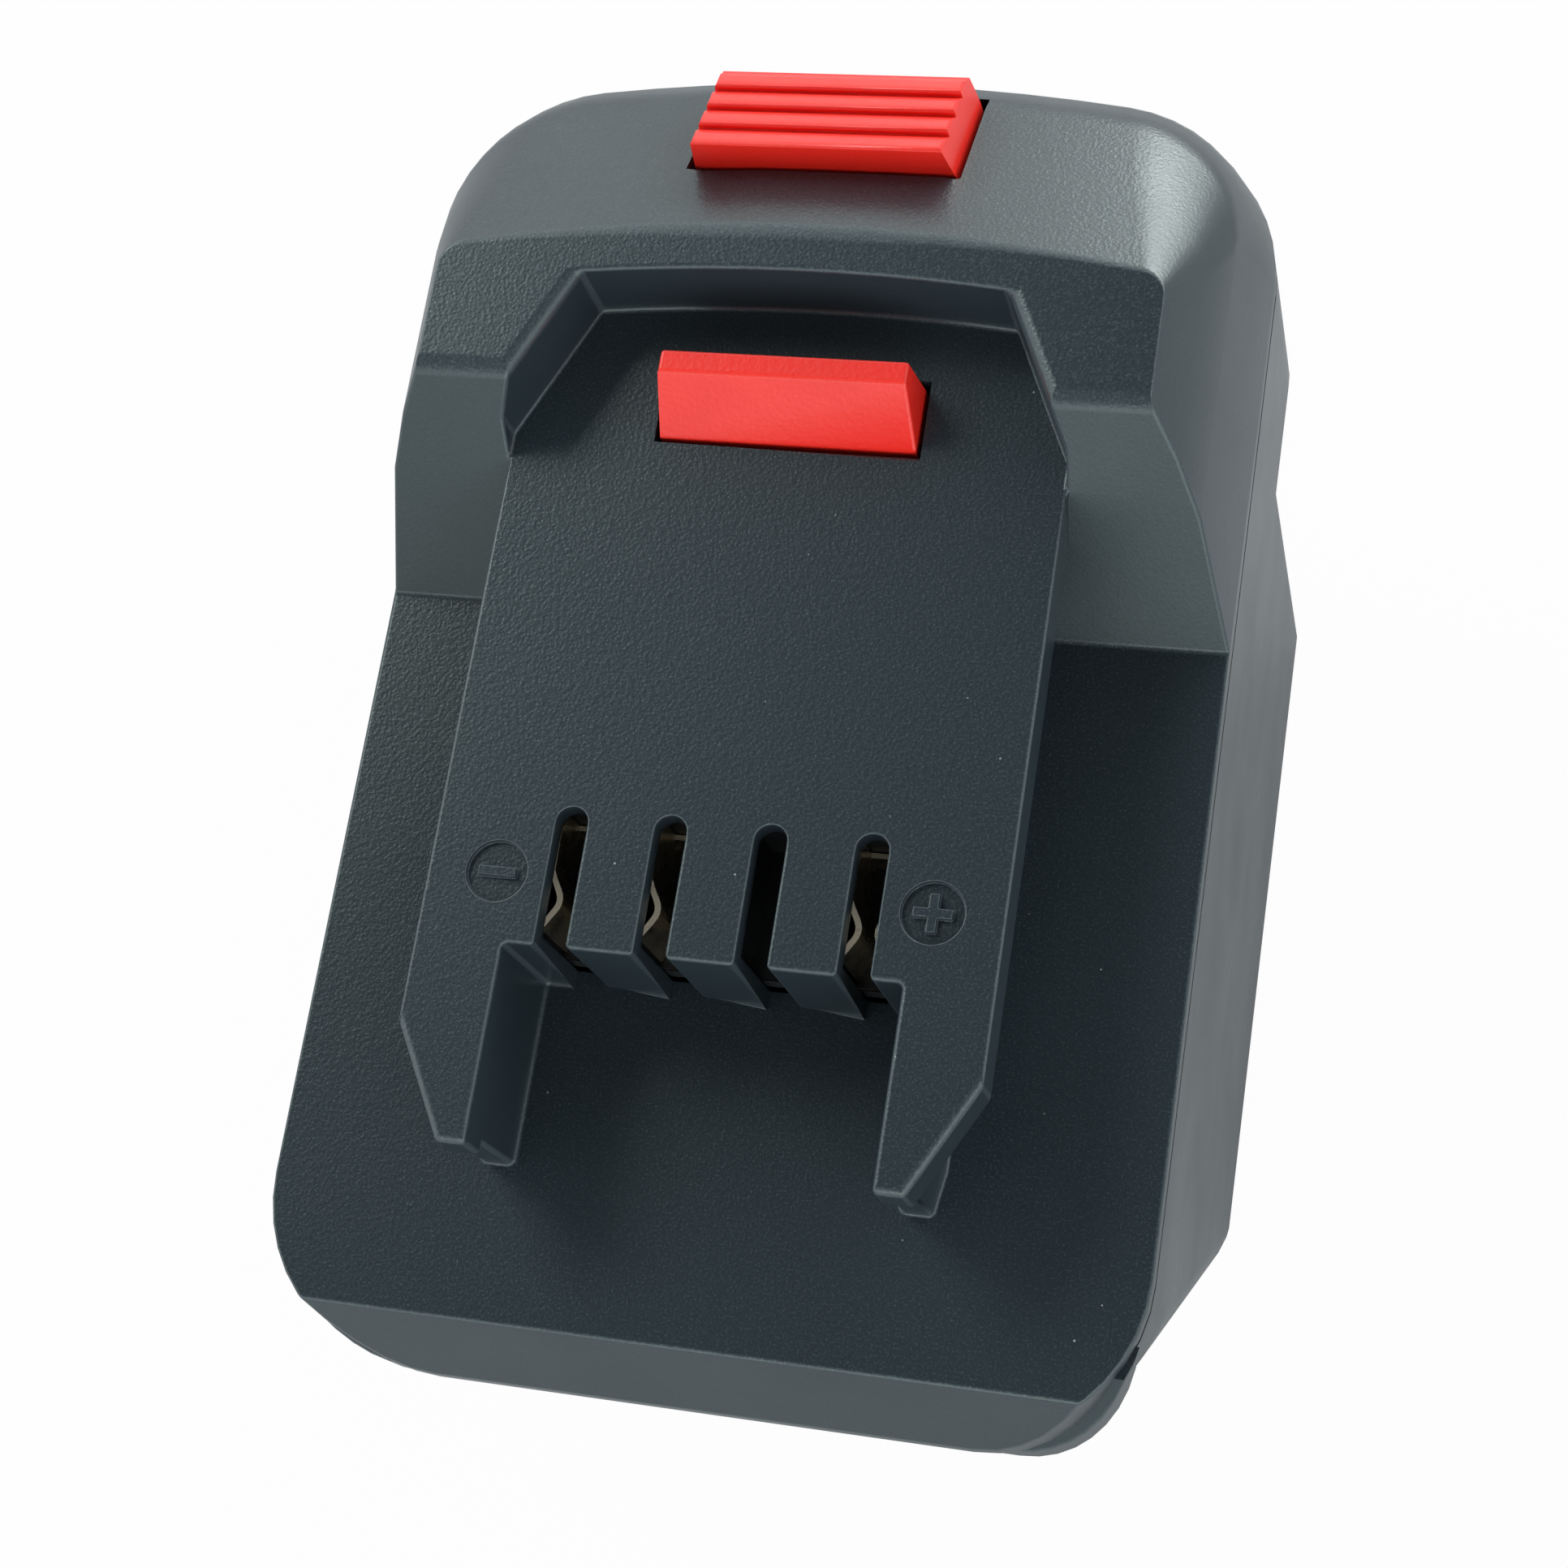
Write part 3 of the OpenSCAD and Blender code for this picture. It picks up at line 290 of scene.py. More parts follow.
    def _specks(self, tree: bpy.types.NodeTree, mm: Socket, level: Socket) -> Socket:
        """Mask of the dust specks that lie on level faces.

        Args:
            tree: Node tree of the material.
            mm: Place on the piece in millimetres.
            level: How far the face looks up.

        Returns:
            The mask.
        """
        cells = add(tree, "TexVoronoi", {"Vector": mm, "Scale": 1 / self.dust_spacing_mm})
        pick = add(tree, "SeparateColor", {0: cells.outputs["Color"]})
        taken = add(tree, "Math", {0: pick.outputs[0], 1: self.dust}, operation="LESS_THAN").outputs[0]
        reach = add(tree, "Math", {0: pick.outputs[1], 1: self.dust_mm / self.dust_spacing_mm},
                    operation="MULTIPLY").outputs[0]
        near = add(tree, "Math", {0: cells.outputs["Distance"], 1: reach}, operation="LESS_THAN").outputs[0]
        lying = add(tree, "Math", {0: level, 1: 0.8}, operation="GREATER_THAN").outputs[0]
        both = add(tree, "Math", {0: taken, 1: near}, operation="MULTIPLY").outputs[0]
        return add(tree, "Math", {0: both, 1: lying}, operation="MULTIPLY").outputs[0]


@dataclass(frozen=True)
class PlatedMetal:
    """Plated metal: a bright skin with drawn lines, dulled in patches by handling."""

    name: str
    colour: str
    tarnish: str
    roughness: float
    line_mm: float
    line_depth_mm: float
    # Direction in which the metal was rolled or drawn
    drawn_along: tuple[float, float, float] = (0.0, 1.0, 0.0)
    patch_mm: float = 3.0
    # Pale colour of the rounded edges, partly wear and partly a painted highlight
    pale_edge_wear_and_highlight: str = "#f2efe8"
    # Colour of the faces that look up, and how metallic they look: matt edges that the shears left, and a
    # painted highlight on the top edges
    sheared_edge_and_highlight: str = "#f2efe8"
    sheared_edge_and_highlight_shine: float = 1.0

    def build(self) -> bpy.types.Material:
        """Make the material.

        Returns:
            The material.
        """
        material, tree = new_tree(self.name)
        place = add(tree, "TexCoord").outputs["Object"]
        mm = add(tree, "VectorMath", {0: place, "Scale": 1 / MM}, operation="SCALE").outputs[0]
        stretch = tuple(0.06 if part else 1.0 for part in self.drawn_along)
        drawn = add(tree, "VectorMath", {0: mm, 1: stretch}, operation="MULTIPLY").outputs[0]
        lines = add(tree, "TexNoise", {"Vector": drawn, "Scale": 1 / self.line_mm, "Detail": 3.0}).outputs[0]
        patches = add(tree, "TexNoise", {"Vector": mm, "Scale": 1 / self.patch_mm, "Detail": 3.0}).outputs[0]
        dulled = add(tree, "MapRange", {0: patches, 1: 0.42, 2: 0.68}).outputs[0]
        colour = add(tree, "Mix", {0: dulled, 6: linear(self.colour), 7: linear(self.tarnish)},
                     data_type="RGBA").outputs[2]
        # Rounded edges turn pale: partly wear, partly a painted highlight
        edge = add(tree, "Attribute", attribute_name=WEAR_AND_HIGHLIGHT).outputs["Fac"]
        colour = add(tree, "Mix", {0: edge, 6: colour, 7: linear(self.pale_edge_wear_and_highlight)}, data_type="RGBA").outputs[2]
        # Faces that look up turn pale and matt: the edges that the shears left, and a painted highlight on
        # the top edges
        facing = add(tree, "NewGeometry").outputs["Normal"]
        level = add(tree, "SeparateXYZ", {0: facing}).outputs["Z"]
        sheared_edge_and_highlight_mask = add(tree, "MapRange", {0: level, 1: 0.6, 2: 0.9}).outputs[0]
        colour = add(tree, "Mix", {0: sheared_edge_and_highlight_mask, 6: colour, 7: linear(self.sheared_edge_and_highlight)}, data_type="RGBA").outputs[2]
        shine = add(tree, "MapRange", {0: sheared_edge_and_highlight_mask, 3: 1.0, 4: self.sheared_edge_and_highlight_shine}).outputs[0]
        rough = add(tree, "MapRange", {0: dulled, 3: self.roughness, 4: self.roughness + 0.14}).outputs[0]
        bump = add(tree, "Bump", {"Strength": 1.0, "Distance": self.line_depth_mm * MM,
                                  "Height": lines}).outputs[0]
        shader = add(tree, "BsdfPrincipled", {"Base Color": colour, "Metallic": shine, "Roughness": rough,
                                              "Normal": bump})
        add(tree, "OutputMaterial", {0: shader.outputs[0]})
        return material


@dataclass(frozen=True)
class PaperSweep:
    """White paper under the adapter: white to the eye, with a faint soft shadow."""

    name: str = "white paper sweep"
    colour: str = "#cdcfd1"
    # Share of plain white that the eye sees, the rest takes the shadow
    white_share: float = 0.97

    def build(self) -> bpy.types.Material:
        """Make the material.

        Returns:
            The material.
        """
        material, tree = new_tree(self.name)
        seen = add(tree, "LightPath").outputs["Is Camera Ray"]
        share = add(tree, "Math", {0: seen, 1: self.white_share}, operation="MULTIPLY").outputs[0]
        paper = add(tree, "BsdfDiffuse", {"Color": linear(self.colour)}).outputs[0]
        white = add(tree, "Emission", {"Color": (1.0, 1.0, 1.0, 1.0), "Strength": 1.0}).outputs[0]
        mixed = add(tree, "MixShader", {0: share, 1: paper, 2: white}).outputs[0]
        add(tree, "OutputMaterial", {0: mixed})
        return material


# Glass-filled nylon from a spark-eroded mould: charcoal with a blue-green cast, a broad grey sheen and a
# visible grit on its level faces, while steep faces are drawn smoother as the mould opens, and pale edges
# that are partly wear and partly a painted highlight
HOUSING = MouldedPlastic(
    name="glass-filled nylon, moulded with a spark-eroded grain", colour="#273137", cloud="#232d33",
    rubbed="#76848a", ior=1.53, smooth_roughness=0.30, grain_roughness=0.32, grain_mm=0.2,
    grain_depth_mm=0.018, facing=Facing.UPWARD_ONLY, faint_grain=0.3, speckle=0.2, rub=0.14,
    sheen_tint="#ecfffa", dust=0.2)
# ABS from a satin mould: saturated red with a soft gloss, paler along its edges from fingers, and there also
# a painted highlight
RED = MouldedPlastic(
    name="red ABS, moulded satin", colour="#f02a1f", cloud="#ea261b", rubbed="#ff7468", ior=1.54,
    smooth_roughness=0.38, grain_roughness=0.38, grain_mm=0.28, grain_depth_mm=0.015, cloud_mm=9.0, rub=0.14)
# PBT for the parts that hold the contacts: near black, a little glossier than the housing, with pale edges
# that are partly wear and partly a painted highlight
INNER = MouldedPlastic(
    name="black PBT, moulded satin", colour="#1c1f21", cloud="#181b1d", rubbed="#4b5153", ior=1.55,
    smooth_roughness=0.42, grain_roughness=0.42, grain_mm=0.3, grain_depth_mm=0.012, rub=0.3)
# Nickel over phosphor bronze strip: pale and warm, with fine rolling lines and dull patches, and matt and
# cream-coloured on the faces that look up, where the shears left the edges and where a highlight is painted
# on them
NICKEL = PlatedMetal(
    name="nickel-plated bronze strip, rolled", colour="#d8d0bd", tarnish="#b3a88f", roughness=0.26,
    line_mm=0.12, line_depth_mm=0.004, sheared_edge_and_highlight="#fff4da", sheared_edge_and_highlight_shine=0.2)
# Music wire: grey and bright along the wire, with drawing marks, and paler as a painted highlight where it
# faces up
WIRE = PlatedMetal(
    name="spring steel wire, drawn", colour="#b4b7ba", tarnish="#8b8f93", roughness=0.3,
    line_mm=0.08, line_depth_mm=0.004, drawn_along=(0.0, 0.0, 0.0))
# Zinc on steel: cool grey, with a slightly cloudy plating, paler as a painted highlight where it faces up
ZINC = PlatedMetal(
    name="zinc-plated steel, headed", colour="#b9bec4", tarnish="#8f979f", roughness=0.34,
    line_mm=0.2, line_depth_mm=0.004, drawn_along=(0.0, 0.0, 0.0))


def insulation(colour: str, name: str) -> MouldedPlastic:
    """Extruded PVC round a lead: smooth, softly glossy, one colour with slight streaks.

    Args:
        colour: sRGB hex colour of the lead.
        name: Name of that colour.

    Returns:
        The finish.
    """
    return MouldedPlastic(
        name=f"{name} PVC insulation, extruded", colour=colour, cloud=colour, rubbed="#8a8a86", ior=1.53,
        smooth_roughness=0.4, grain_roughness=0.4, grain_mm=0.25, grain_depth_mm=0.008, cloud_mm=4.0, rub=0.1)


def weld(source: bpy.types.Object, same_mm: float = 0.002, thin_mm: float = 0.004,
         flat_deg: float = 0.15) -> bmesh.types.BMesh:
    """Copy a node's mesh with its corners welded and its flat faces whole.

    Args:
        source: Object of the node.
        same_mm: Distance within which two corners are one.
        thin_mm: Width below which a face is taken out.
        flat_deg: Angle within which two faces are one.

    Returns:
        The welded mesh, to be freed by the caller.
    """
    mesh = bmesh.new()
    mesh.from_mesh(source.data)
    bmesh.ops.remove_doubles(mesh, verts=mesh.verts, dist=same_mm * MM)
    bmesh.ops.dissolve_degenerate(mesh, edges=mesh.edges, dist=thin_mm * MM)
    bmesh.ops.dissolve_limit(mesh, angle_limit=math.radians(flat_deg), verts=mesh.verts, edges=mesh.edges)
    return mesh


def all_solids(frame: Frame) -> BVHTree:
    """Put every solid of the part into one search tree, to find out what is hidden.

    Args:
        frame: The loaded frame.

    Returns:
        The search tree.
    """
    together = bmesh.new()
    for node in frame["nodes"].values():
        together.from_mesh(node.data)
    tree = BVHTree.FromBMesh(together)
    together.free()
    return tree


def in_the_open(edge: bmesh.types.BMEdge, solids: BVHTree, lift_mm: float = 0.05, tilt: float = 0.9) -> bool:
    """Tell whether an edge can be seen from outside.

    Args:
        edge: Edge between two faces.
        solids: Search tree of every solid.
        lift_mm: Distance from the edge at which the lines of sight start.
        tilt: How far two of the three lines lean up and down.

    Returns:
        True where a line of sight leaves the part without meeting a solid.
    """
    out = sum((face.normal for face in edge.link_faces), Vector()).normalized()
    start = (edge.verts[0].co + edge.verts[1].co) / 2 + lift_mm * MM * out
    ways = (out, out + Vector((0, 0, tilt)), out - Vector((0, 0, tilt)))
    return any(solids.ray_cast(start, way.normalized())[0] is None for way in ways)


def lost_at_corner(beside: float, own: float, turn: float) -> float:
    """Length that a face's edge loses at one corner when the edges there move into the face.

    Args:
        beside: Width by which the next edge moves in.
        own: Width by which the edge itself moves in.
        turn: Angle by which the outline turns at the corner, positive where the face bulges.

    Returns:
        The lost length.
    """
    if abs(turn) < math.radians(2) or abs(turn) > math.radians(178):
        return 0.0
    return max(0.0, (beside - own * math.cos(turn)) / math.sin(turn))


class EdgeWidths:
    """Widths of the rounded edges of a mesh, small enough that no face shrinks through itself."""

    # How much wider than its neighbour an edge of a smooth run may be
    growth = 1.4
    # Bend up to which two edges are one smooth run
    run_deg = 40.0
    # Share of a face's edge that the rounded edges beside it may use up
    used = 0.6
    # Share of the room across a face that one edge may take
    across_share = 0.42
    # Least share of its width that an edge keeps in one round, and that both edges of a pointed corner keep
    kept = 0.7
    kept_at_point = 0.85
    # Most rounds of narrowing
    rounds = 80

    def __init__(self, mesh: bmesh.types.BMesh, wanted: dict[bmesh.types.BMEdge, float]) -> None:
        """Take the wanted widths and reduce them where a face has no room.

        Args:
            mesh: The welded mesh.
            wanted: Width in metres for each edge to be rounded.
        """
        self.of = dict(wanted)
        self.faces = [face for face in mesh.faces if any(edge in self.of for edge in face.edges)]
        self.turns = {face: [self.turn(loop) for loop in face.loops] for face in self.faces}
        for face in self.faces:
            self.keep_apart(face)
        self.settle(mesh)

    def settle(self, mesh: bmesh.types.BMesh) -> None:
        """Narrow edges until every face keeps its outline.

        Args:
            mesh: The welded mesh.
        """
        for _ in range(self.rounds):
            uneven = sum(self.even_out(corner) for corner in mesh.verts)
            if not uneven + sum(self.fit_corners(face) for face in self.faces):
                break

    @staticmethod
    def turn(loop: bmesh.types.BMLoop) -> float:
        """Measure how a face's outline turns at the start of one of its edges.

        Args:
            loop: The edge within its face.

        Returns:
            The angle, positive where the face bulges.
        """
        before = loop.vert.co - loop.link_loop_prev.vert.co
        after = loop.link_loop_next.vert.co - loop.vert.co
        if before.length < NO_LENGTH or after.length < NO_LENGTH:
            return 0.0
        return math.copysign(before.angle(after), before.cross(after).dot(loop.face.normal))

    def reduce(self, edge: bmesh.types.BMEdge, most: float) -> None:
        """Let an edge be no wider than some width."""
        if edge in self.of:
            self.of[edge] = min(self.of[edge], most)

    def keep_apart(self, face: bmesh.types.BMFace) -> None:
        """Share the room between each edge of a face and the corners across from it.

        Args:
            face: The face.
        """
        for loop in face.loops:
            start, along = loop.vert.co, loop.link_loop_next.vert.co - loop.vert.co
            length = along.length
            if length < NO_LENGTH:
                continue
            along = along / length
            inward = face.normal.cross(along)
            for other in face.loops:
                reach = (other.vert.co - start).dot(along) / length
                across = (other.vert.co - start).dot(inward)
                if 0.03 < reach < 0.97 and across > 1e-7:
                    for edge in (loop.edge, other.edge, other.link_loop_prev.edge):
                        self.reduce(edge, self.across_share * across)

    def even_out(self, corner: bmesh.types.BMVert) -> bool:
        """Keep the widths of two edges that run on smoothly through a corner alike.

        Args:
            corner: The corner.

        Returns:
            Whether something was narrowed.
        """
        pair = [edge for edge in corner.link_edges if edge in self.of]
        if len(pair) != 2:
            return False
        first, second = (edge.other_vert(corner).co - corner.co for edge in pair)
        narrow, wide = sorted(pair, key=self.of.__getitem__)
        most = self.growth * self.of[narrow]
        if first.angle(-second, math.pi) > math.radians(self.run_deg) or self.of[wide] < 1.02 * most:
            return False
        self.of[wide] = most
        return True

    def narrow_near(self, mesh: bmesh.types.BMesh, places: list[Vector], share: float = 0.6) -> None:
        """Narrow the edges at the corners that are nearest to some places.

        Args:
            mesh: The welded mesh.
            places: The places.
            share: Part of their width that the edges keep.
        """
        corners = list(mesh.verts)
        tree = KDTree(len(corners))
        for i, corner in enumerate(corners):
            tree.insert(corner.co, i)
        tree.balance()
        near = {tree.find(place)[1] for place in places}
        for edge in {edge for i in near for edge in corners[i].link_edges if edge in self.of}:
            self.of[edge] *= share
        self.settle(mesh)

    def fit_corners(self, face: bmesh.types.BMFace) -> bool:
        """Narrow the edges round every edge of a face that would shrink to nothing.

        Args:
            face: The face.

        Returns:
            Whether something was narrowed.
        """
        narrowed = False
        turns = self.turns[face]
        for i, loop in enumerate(face.loops):
            ends = ((loop.link_loop_prev.edge, turns[i]),
                    (loop.link_loop_next.edge, turns[(i + 1) % len(turns)]))
            own = self.of.get(loop.edge, 0.0)
            lost = [lost_at_corner(self.of.get(edge, 0.0), own, turn) for edge, turn in ends]
            room = self.used * loop.edge.calc_length()
            if sum(lost) > 1.001 * room + 1e-8:
                for (edge, turn), part in zip(ends, lost):
                    if part > 0.0:
                        self.give_way(edge, loop.edge, turn, room * part / sum(lost))
                narrowed = True
        return narrowed

    def give_way(self, beside: bmesh.types.BMEdge, own: bmesh.types.BMEdge, turn: float, room: float) -> None:
        """Narrow the edge that takes too much of another one at their corner.

        Args:
            beside: The next edge of the face.
            own: The edge that loses length.
            turn: Angle by which the outline turns at the corner.
            room: Length that may be lost.
        """
        wide, narrow = self.of.get(beside, 0.0), self.of.get(own, 0.0)
        if turn > 0.0:
            self.reduce(beside, max(narrow * math.cos(turn) + room * math.sin(turn), self.kept * wide))
            if math.cos(turn) < 0.0:
                self.reduce(own, self.kept_at_point * narrow)
        else:
            self.reduce(own, max((wide + room * math.sin(-turn)) / math.cos(turn), self.kept * narrow))


@dataclass(frozen=True)
class EdgeZone:
    """Box of the part, in millimetres, in which edges are rounded by a width of their own."""

    low: tuple[float, float, float]
    high: tuple[float, float, float]
    edge_mm: float

    def holds(self, edge: bmesh.types.BMEdge) -> bool:
        """Tell whether both ends of an edge lie in the box."""
        return all(low <= place / MM <= high for end in edge.verts
                   for low, place, high in zip(self.low, end.co, self.high))


@dataclass
class Moulding:
    """A node shown by a copy whose sharp edges are rounded."""

    node: str
    slot: str
    edge_mm: float
    body: Body = Body.HOUSING
    rings: int = 3
    sharp_deg: float = 32.0
    least_mm: float = 0.015
    tries: int = 8
    zones: tuple[EdgeZone, ...] = ()

    def wanted(self, edge: bmesh.types.BMEdge) -> float:
        """Width in metres by which a sharp edge should be rounded."""
        return next((zone.edge_mm for zone in self.zones if zone.holds(edge)), self.edge_mm) * MM

    def build(self, frame: Frame, material: bpy.types.Material) -> bpy.types.Object:
        """Make the rounded copy and let it stand for its node.

        Args:
            frame: The loaded frame.
            material: Finish of the piece.

        Returns:
            The new piece.
        """
        welded = weld(frame["nodes"][self.node])
        welded.edges.layers.float.new("bevel_weight_edge")
        solids = all_solids(frame)
        sharp = [edge for edge in welded.edges
                 if len(edge.link_faces) == 2 and edge.calc_face_angle(0.0) > math.radians(self.sharp_deg)]
        widths = EdgeWidths(welded, {edge: self.wanted(edge) for edge in sharp if in_the_open(edge, solids)})
        piece = self._rounded(welded, widths, material)
        for _ in range(self.tries):
            crossed = crossing_corners(piece.data)
            if not crossed:
                break
            widths.narrow_near(welded, crossed)
            bpy.data.meshes.remove(piece.data)
            piece = self._rounded(welded, widths, material)
        welded.free()
        keep_faces_flat(piece.data)
        mark_rubbed(piece.data)
        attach(piece, self.body.value)
        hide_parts(self.node)
        LOG.info("%s: %d faces, edges rounded by %.2f mm", piece.name, len(piece.data.polygons), self.edge_mm)
        return piece

    def _rounded(self, welded: bmesh.types.BMesh, widths: EdgeWidths,
                 material: bpy.types.Material) -> bpy.types.Object:
        """Round the edges of a welded mesh.

        Args:
            welded: The welded mesh.
            widths: Widths of its rounded edges.
            material: Finish of the piece.

        Returns:
            A piece whose rounded edges have the second material.
        """
        weights = welded.edges.layers.float["bevel_weight_edge"]
        widest = max(zone.edge_mm for zone in (*self.zones, self)) * MM
        for edge in welded.edges:
            width = widths.of.get(edge, 0.0)
            edge[weights] = width / widest if width > self.least_mm * MM else 0.0
        for face in welded.faces:
            face.smooth = True
        mesh = bpy.data.meshes.new(self.node + "_rounded")
        welded.to_mesh(mesh)
        for _ in ("faces", "rounded edges"):
            mesh.materials.append(material)
        piece = bpy.data.objects.new(self.node + "_rounded", mesh)
        bpy.context.scene.collection.objects.link(piece)
        bevel = piece.modifiers.new("rounded edges", "BEVEL")
        bevel.limit_method = "WEIGHT"
        bevel.width = widest
        bevel.material = 1
        bevel.segments = self.rings
        bevel.use_clamp_overlap = False
        bevel.miter_outer = "MITER_ARC"
        bake_modifiers(piece)
        return piece


def crossing_corners(mesh: bpy.types.Mesh, least_mm2: float = 0.0005) -> list[Vector]:
    """Find the corners of the faces that cross themselves.

    Args:
        mesh: The mesh.
        least_mm2: Smallest triangle that counts when it looks the wrong way.

    Returns:
        The corners.
    """
    mesh.calc_loop_triangles()
    crossing = {part.polygon_index for part in mesh.loop_triangles if part.area > least_mm2 * MM * MM
                and part.normal.dot(mesh.polygons[part.polygon_index].normal) < 0.0}
    return [mesh.vertices[corner].co.copy() for face in crossing for corner in mesh.polygons[face].vertices]


def bake_modifiers(piece: bpy.types.Object) -> None:
    """Turn what a piece's modifiers make into its own mesh.

    Args:
        piece: The piece.
    """
    graph = bpy.context.evaluated_depsgraph_get()
    final = bpy.data.meshes.new_from_object(piece.evaluated_get(graph))
    piece.modifiers.clear()
    piece.data = final


def keep_faces_flat(mesh: bpy.types.Mesh, bend_deg: float = 36.0) -> None:
    """Set the normals so that flat faces look flat and rounded edges bend from one to the next.

    Args:
        mesh: Mesh whose rounded edges have the second material.
        bend_deg: Largest angle between two faces that belong to one curved wall.
    """
    around: dict[int, list[bpy.types.MeshPolygon]] = {}
    for face in mesh.polygons:
        for corner in face.vertices:
            around.setdefault(corner, []).append(face)
    alike = math.cos(math.radians(bend_deg))

    def wall_normal(face: bpy.types.MeshPolygon, beside: list[bpy.types.MeshPolygon]) -> Vector:
        """Normal of the wall that a face belongs to, among the walls beside it."""
        parts = (other.normal * other.area for other in beside if other.normal.dot(face.normal) > alike)
        return sum(parts, face.normal * 1e-12).normalized()

    normals: list[Vector] = [Vector()] * len(mesh.loops)
    for face in mesh.polygons:
        for loop, corner in zip(face.loop_indices, face.vertices):
            walls = [other for other in around[corner] if other.material_index == 0]
            if face.material_index == 0 or not walls:
                normals[loop] = wall_normal(face, walls or around[corner])
            else:
                nearest = max(walls, key=lambda wall: wall.normal.dot(face.normal))
                normals[loop] = wall_normal(nearest, walls)
    mesh.normals_split_custom_set(normals)


def mark_rubbed(mesh: bpy.types.Mesh) -> None:
    """Turn the second material of a mesh, which marks its rounded edges, into the mask of the pale edges,
    which are partly wear and partly a painted highlight.

    Args:
        mesh: The mesh.
    """
    edge_only = [1.0] * len(mesh.vertices)
    for face in mesh.polygons:
        if face.material_index == 0:
            for corner in face.vertices:
                edge_only[corner] = 0.0
        face.material_index = 0
    mesh.attributes.new(WEAR_AND_HIGHLIGHT, "FLOAT", "POINT").data.foreach_set("value", edge_only)
    mesh.materials.pop(index=1)


@dataclass
class Housing:
    """The two moulded shells, screwed together round everything else."""

    edge_mm: float = 0.3
    # Polarity marks, slots, mouth, head recess, top of the rail block and face of the head
    front_zones: tuple[EdgeZone, ...] = (
        EdgeZone((-21.4, -23.3, 70.0), (-15.7, -17.6, 77.0), 0.12),
        EdgeZone((15.7, -23.3, 70.0), (21.4, -17.6, 77.0), 0.12),
        EdgeZone((-16.8, -26.2, 60.0), (16.8, -10.0, 77.0), 0.2),
        EdgeZone((-17.0, -44.0, 62.0), (17.0, -26.3, 77.0), 0.45),
        EdgeZone((-20.0, 15.0, 75.9), (20.0, 33.0, 84.0), 0.45),
        EdgeZone((-24.6, -44.0, 75.5), (24.6, 9.0, 76.5), 0.8),
        EdgeZone((-40.0, 15.0, 83.0), (40.0, 45.0, 84.0), 1.2),
    )
    # Rim of the battery socket, which has tight corners
    rear_zones: tuple[EdgeZone, ...] = (EdgeZone((-25.0, -23.0, -1.0), (25.0, 17.0, 3.0), 0.08),)

    def build(self, frame: Frame) -> None:
        """Round both shells and give them their grain.

        Args:
            frame: The loaded frame.
        """
        nylon = HOUSING.build()
        Moulding("front_shell", "housing_plastic", self.edge_mm, rings=4, sharp_deg=20.0,
                 zones=self.front_zones).build(frame, nylon)
        Moulding("rear_shell", "housing_plastic", self.edge_mm, zones=self.rear_zones).build(frame, nylon)


@dataclass
class ReturnSpring:
    """One compression spring with closed ends, under the button."""

    node: str
    wire_mm: float = 0.6
    open_turns: float = 6.5
    closed_turns: float = 1.0
    steps_per_turn: int = 28
    wire_sides: int = 10
    seat_gap_mm: float = 0.05
    # Rise of a closed turn in wire diameters, and how softly the open turns start
    closed_pitch: float = 1.04
    ease: float = 0.12

    def height_at(self, turn: float, rise: float) -> float:
        """Height of the wire's middle above the lower seat after some turns.

        Args:
            turn: Turns from the lower end.
            rise: Distance between the wire's middles at both ends.

        Returns:
            The height in metres.
        """
        wire = self.wire_mm * MM
        total = self.open_turns + 2 * self.closed_turns
        closed_rise = self.closed_turns * wire * self.closed_pitch
        if turn <= self.closed_turns:
            return turn * wire * self.closed_pitch
        if turn >= total - self.closed_turns:
            return rise - (total - turn) * wire * self.closed_pitch
        share = (turn - self.closed_turns) / self.open_turns
        eased = share - math.sin(2 * math.pi * share) / (2 * math.pi) * self.ease
        return closed_rise + (rise - 2 * closed_rise) * eased

    def build(self, frame: Frame, material: bpy.types.Material) -> bpy.types.Object:
        """Wind the spring into the space of its node.

        Args:
            frame: The loaded frame.
            material: Finish of the wire.

        Returns:
            The new piece.
        """
        low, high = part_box(self.node)
        middle = (low + high) / 2
        wire = self.wire_mm * MM
        radius = (high.x - low.x - wire) / 2
        rise = high.z - low.z - wire
        total = self.open_turns + 2 * self.closed_turns
        count = round(total * self.steps_per_turn)
        mesh = bmesh.new()
        rings = []
        for step in range(count + 1):
            turn = total * step / count
            angle = 2 * math.pi * turn
            out = Vector((math.cos(angle), math.sin(angle), 0.0))
            heart = Vector((middle.x, middle.y, low.z + wire / 2 + self.height_at(turn, rise))) + radius * out
            corners = [2 * math.pi * k / self.wire_sides for k in range(self.wire_sides)]
            round_wire = (math.cos(c) * out + math.sin(c) * Vector((0, 0, 1)) for c in corners)
            rings.append([mesh.verts.new(heart + wire / 2 * spoke) for spoke in round_wire])
        for near, far in zip(rings, rings[1:]):
            for k in range(self.wire_sides):
                j = (k + 1) % self.wire_sides
                mesh.faces.new((near[k], near[j], far[j], far[k])).smooth = True
        mesh.faces.new(list(reversed(rings[0])))
        mesh.faces.new(rings[-1])
        bmesh.ops.recalc_face_normals(mesh, faces=mesh.faces)
        data = bpy.data.meshes.new(self.node + "_coil")
        mesh.to_mesh(data)
        mesh.free()
        data.materials.append(material)
        piece = bpy.data.objects.new(self.node + "_coil", data)
        bpy.context.scene.collection.objects.link(piece)
        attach(piece, Body.HOUSING.value)
        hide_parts(self.node)
        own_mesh(piece)
        return piece


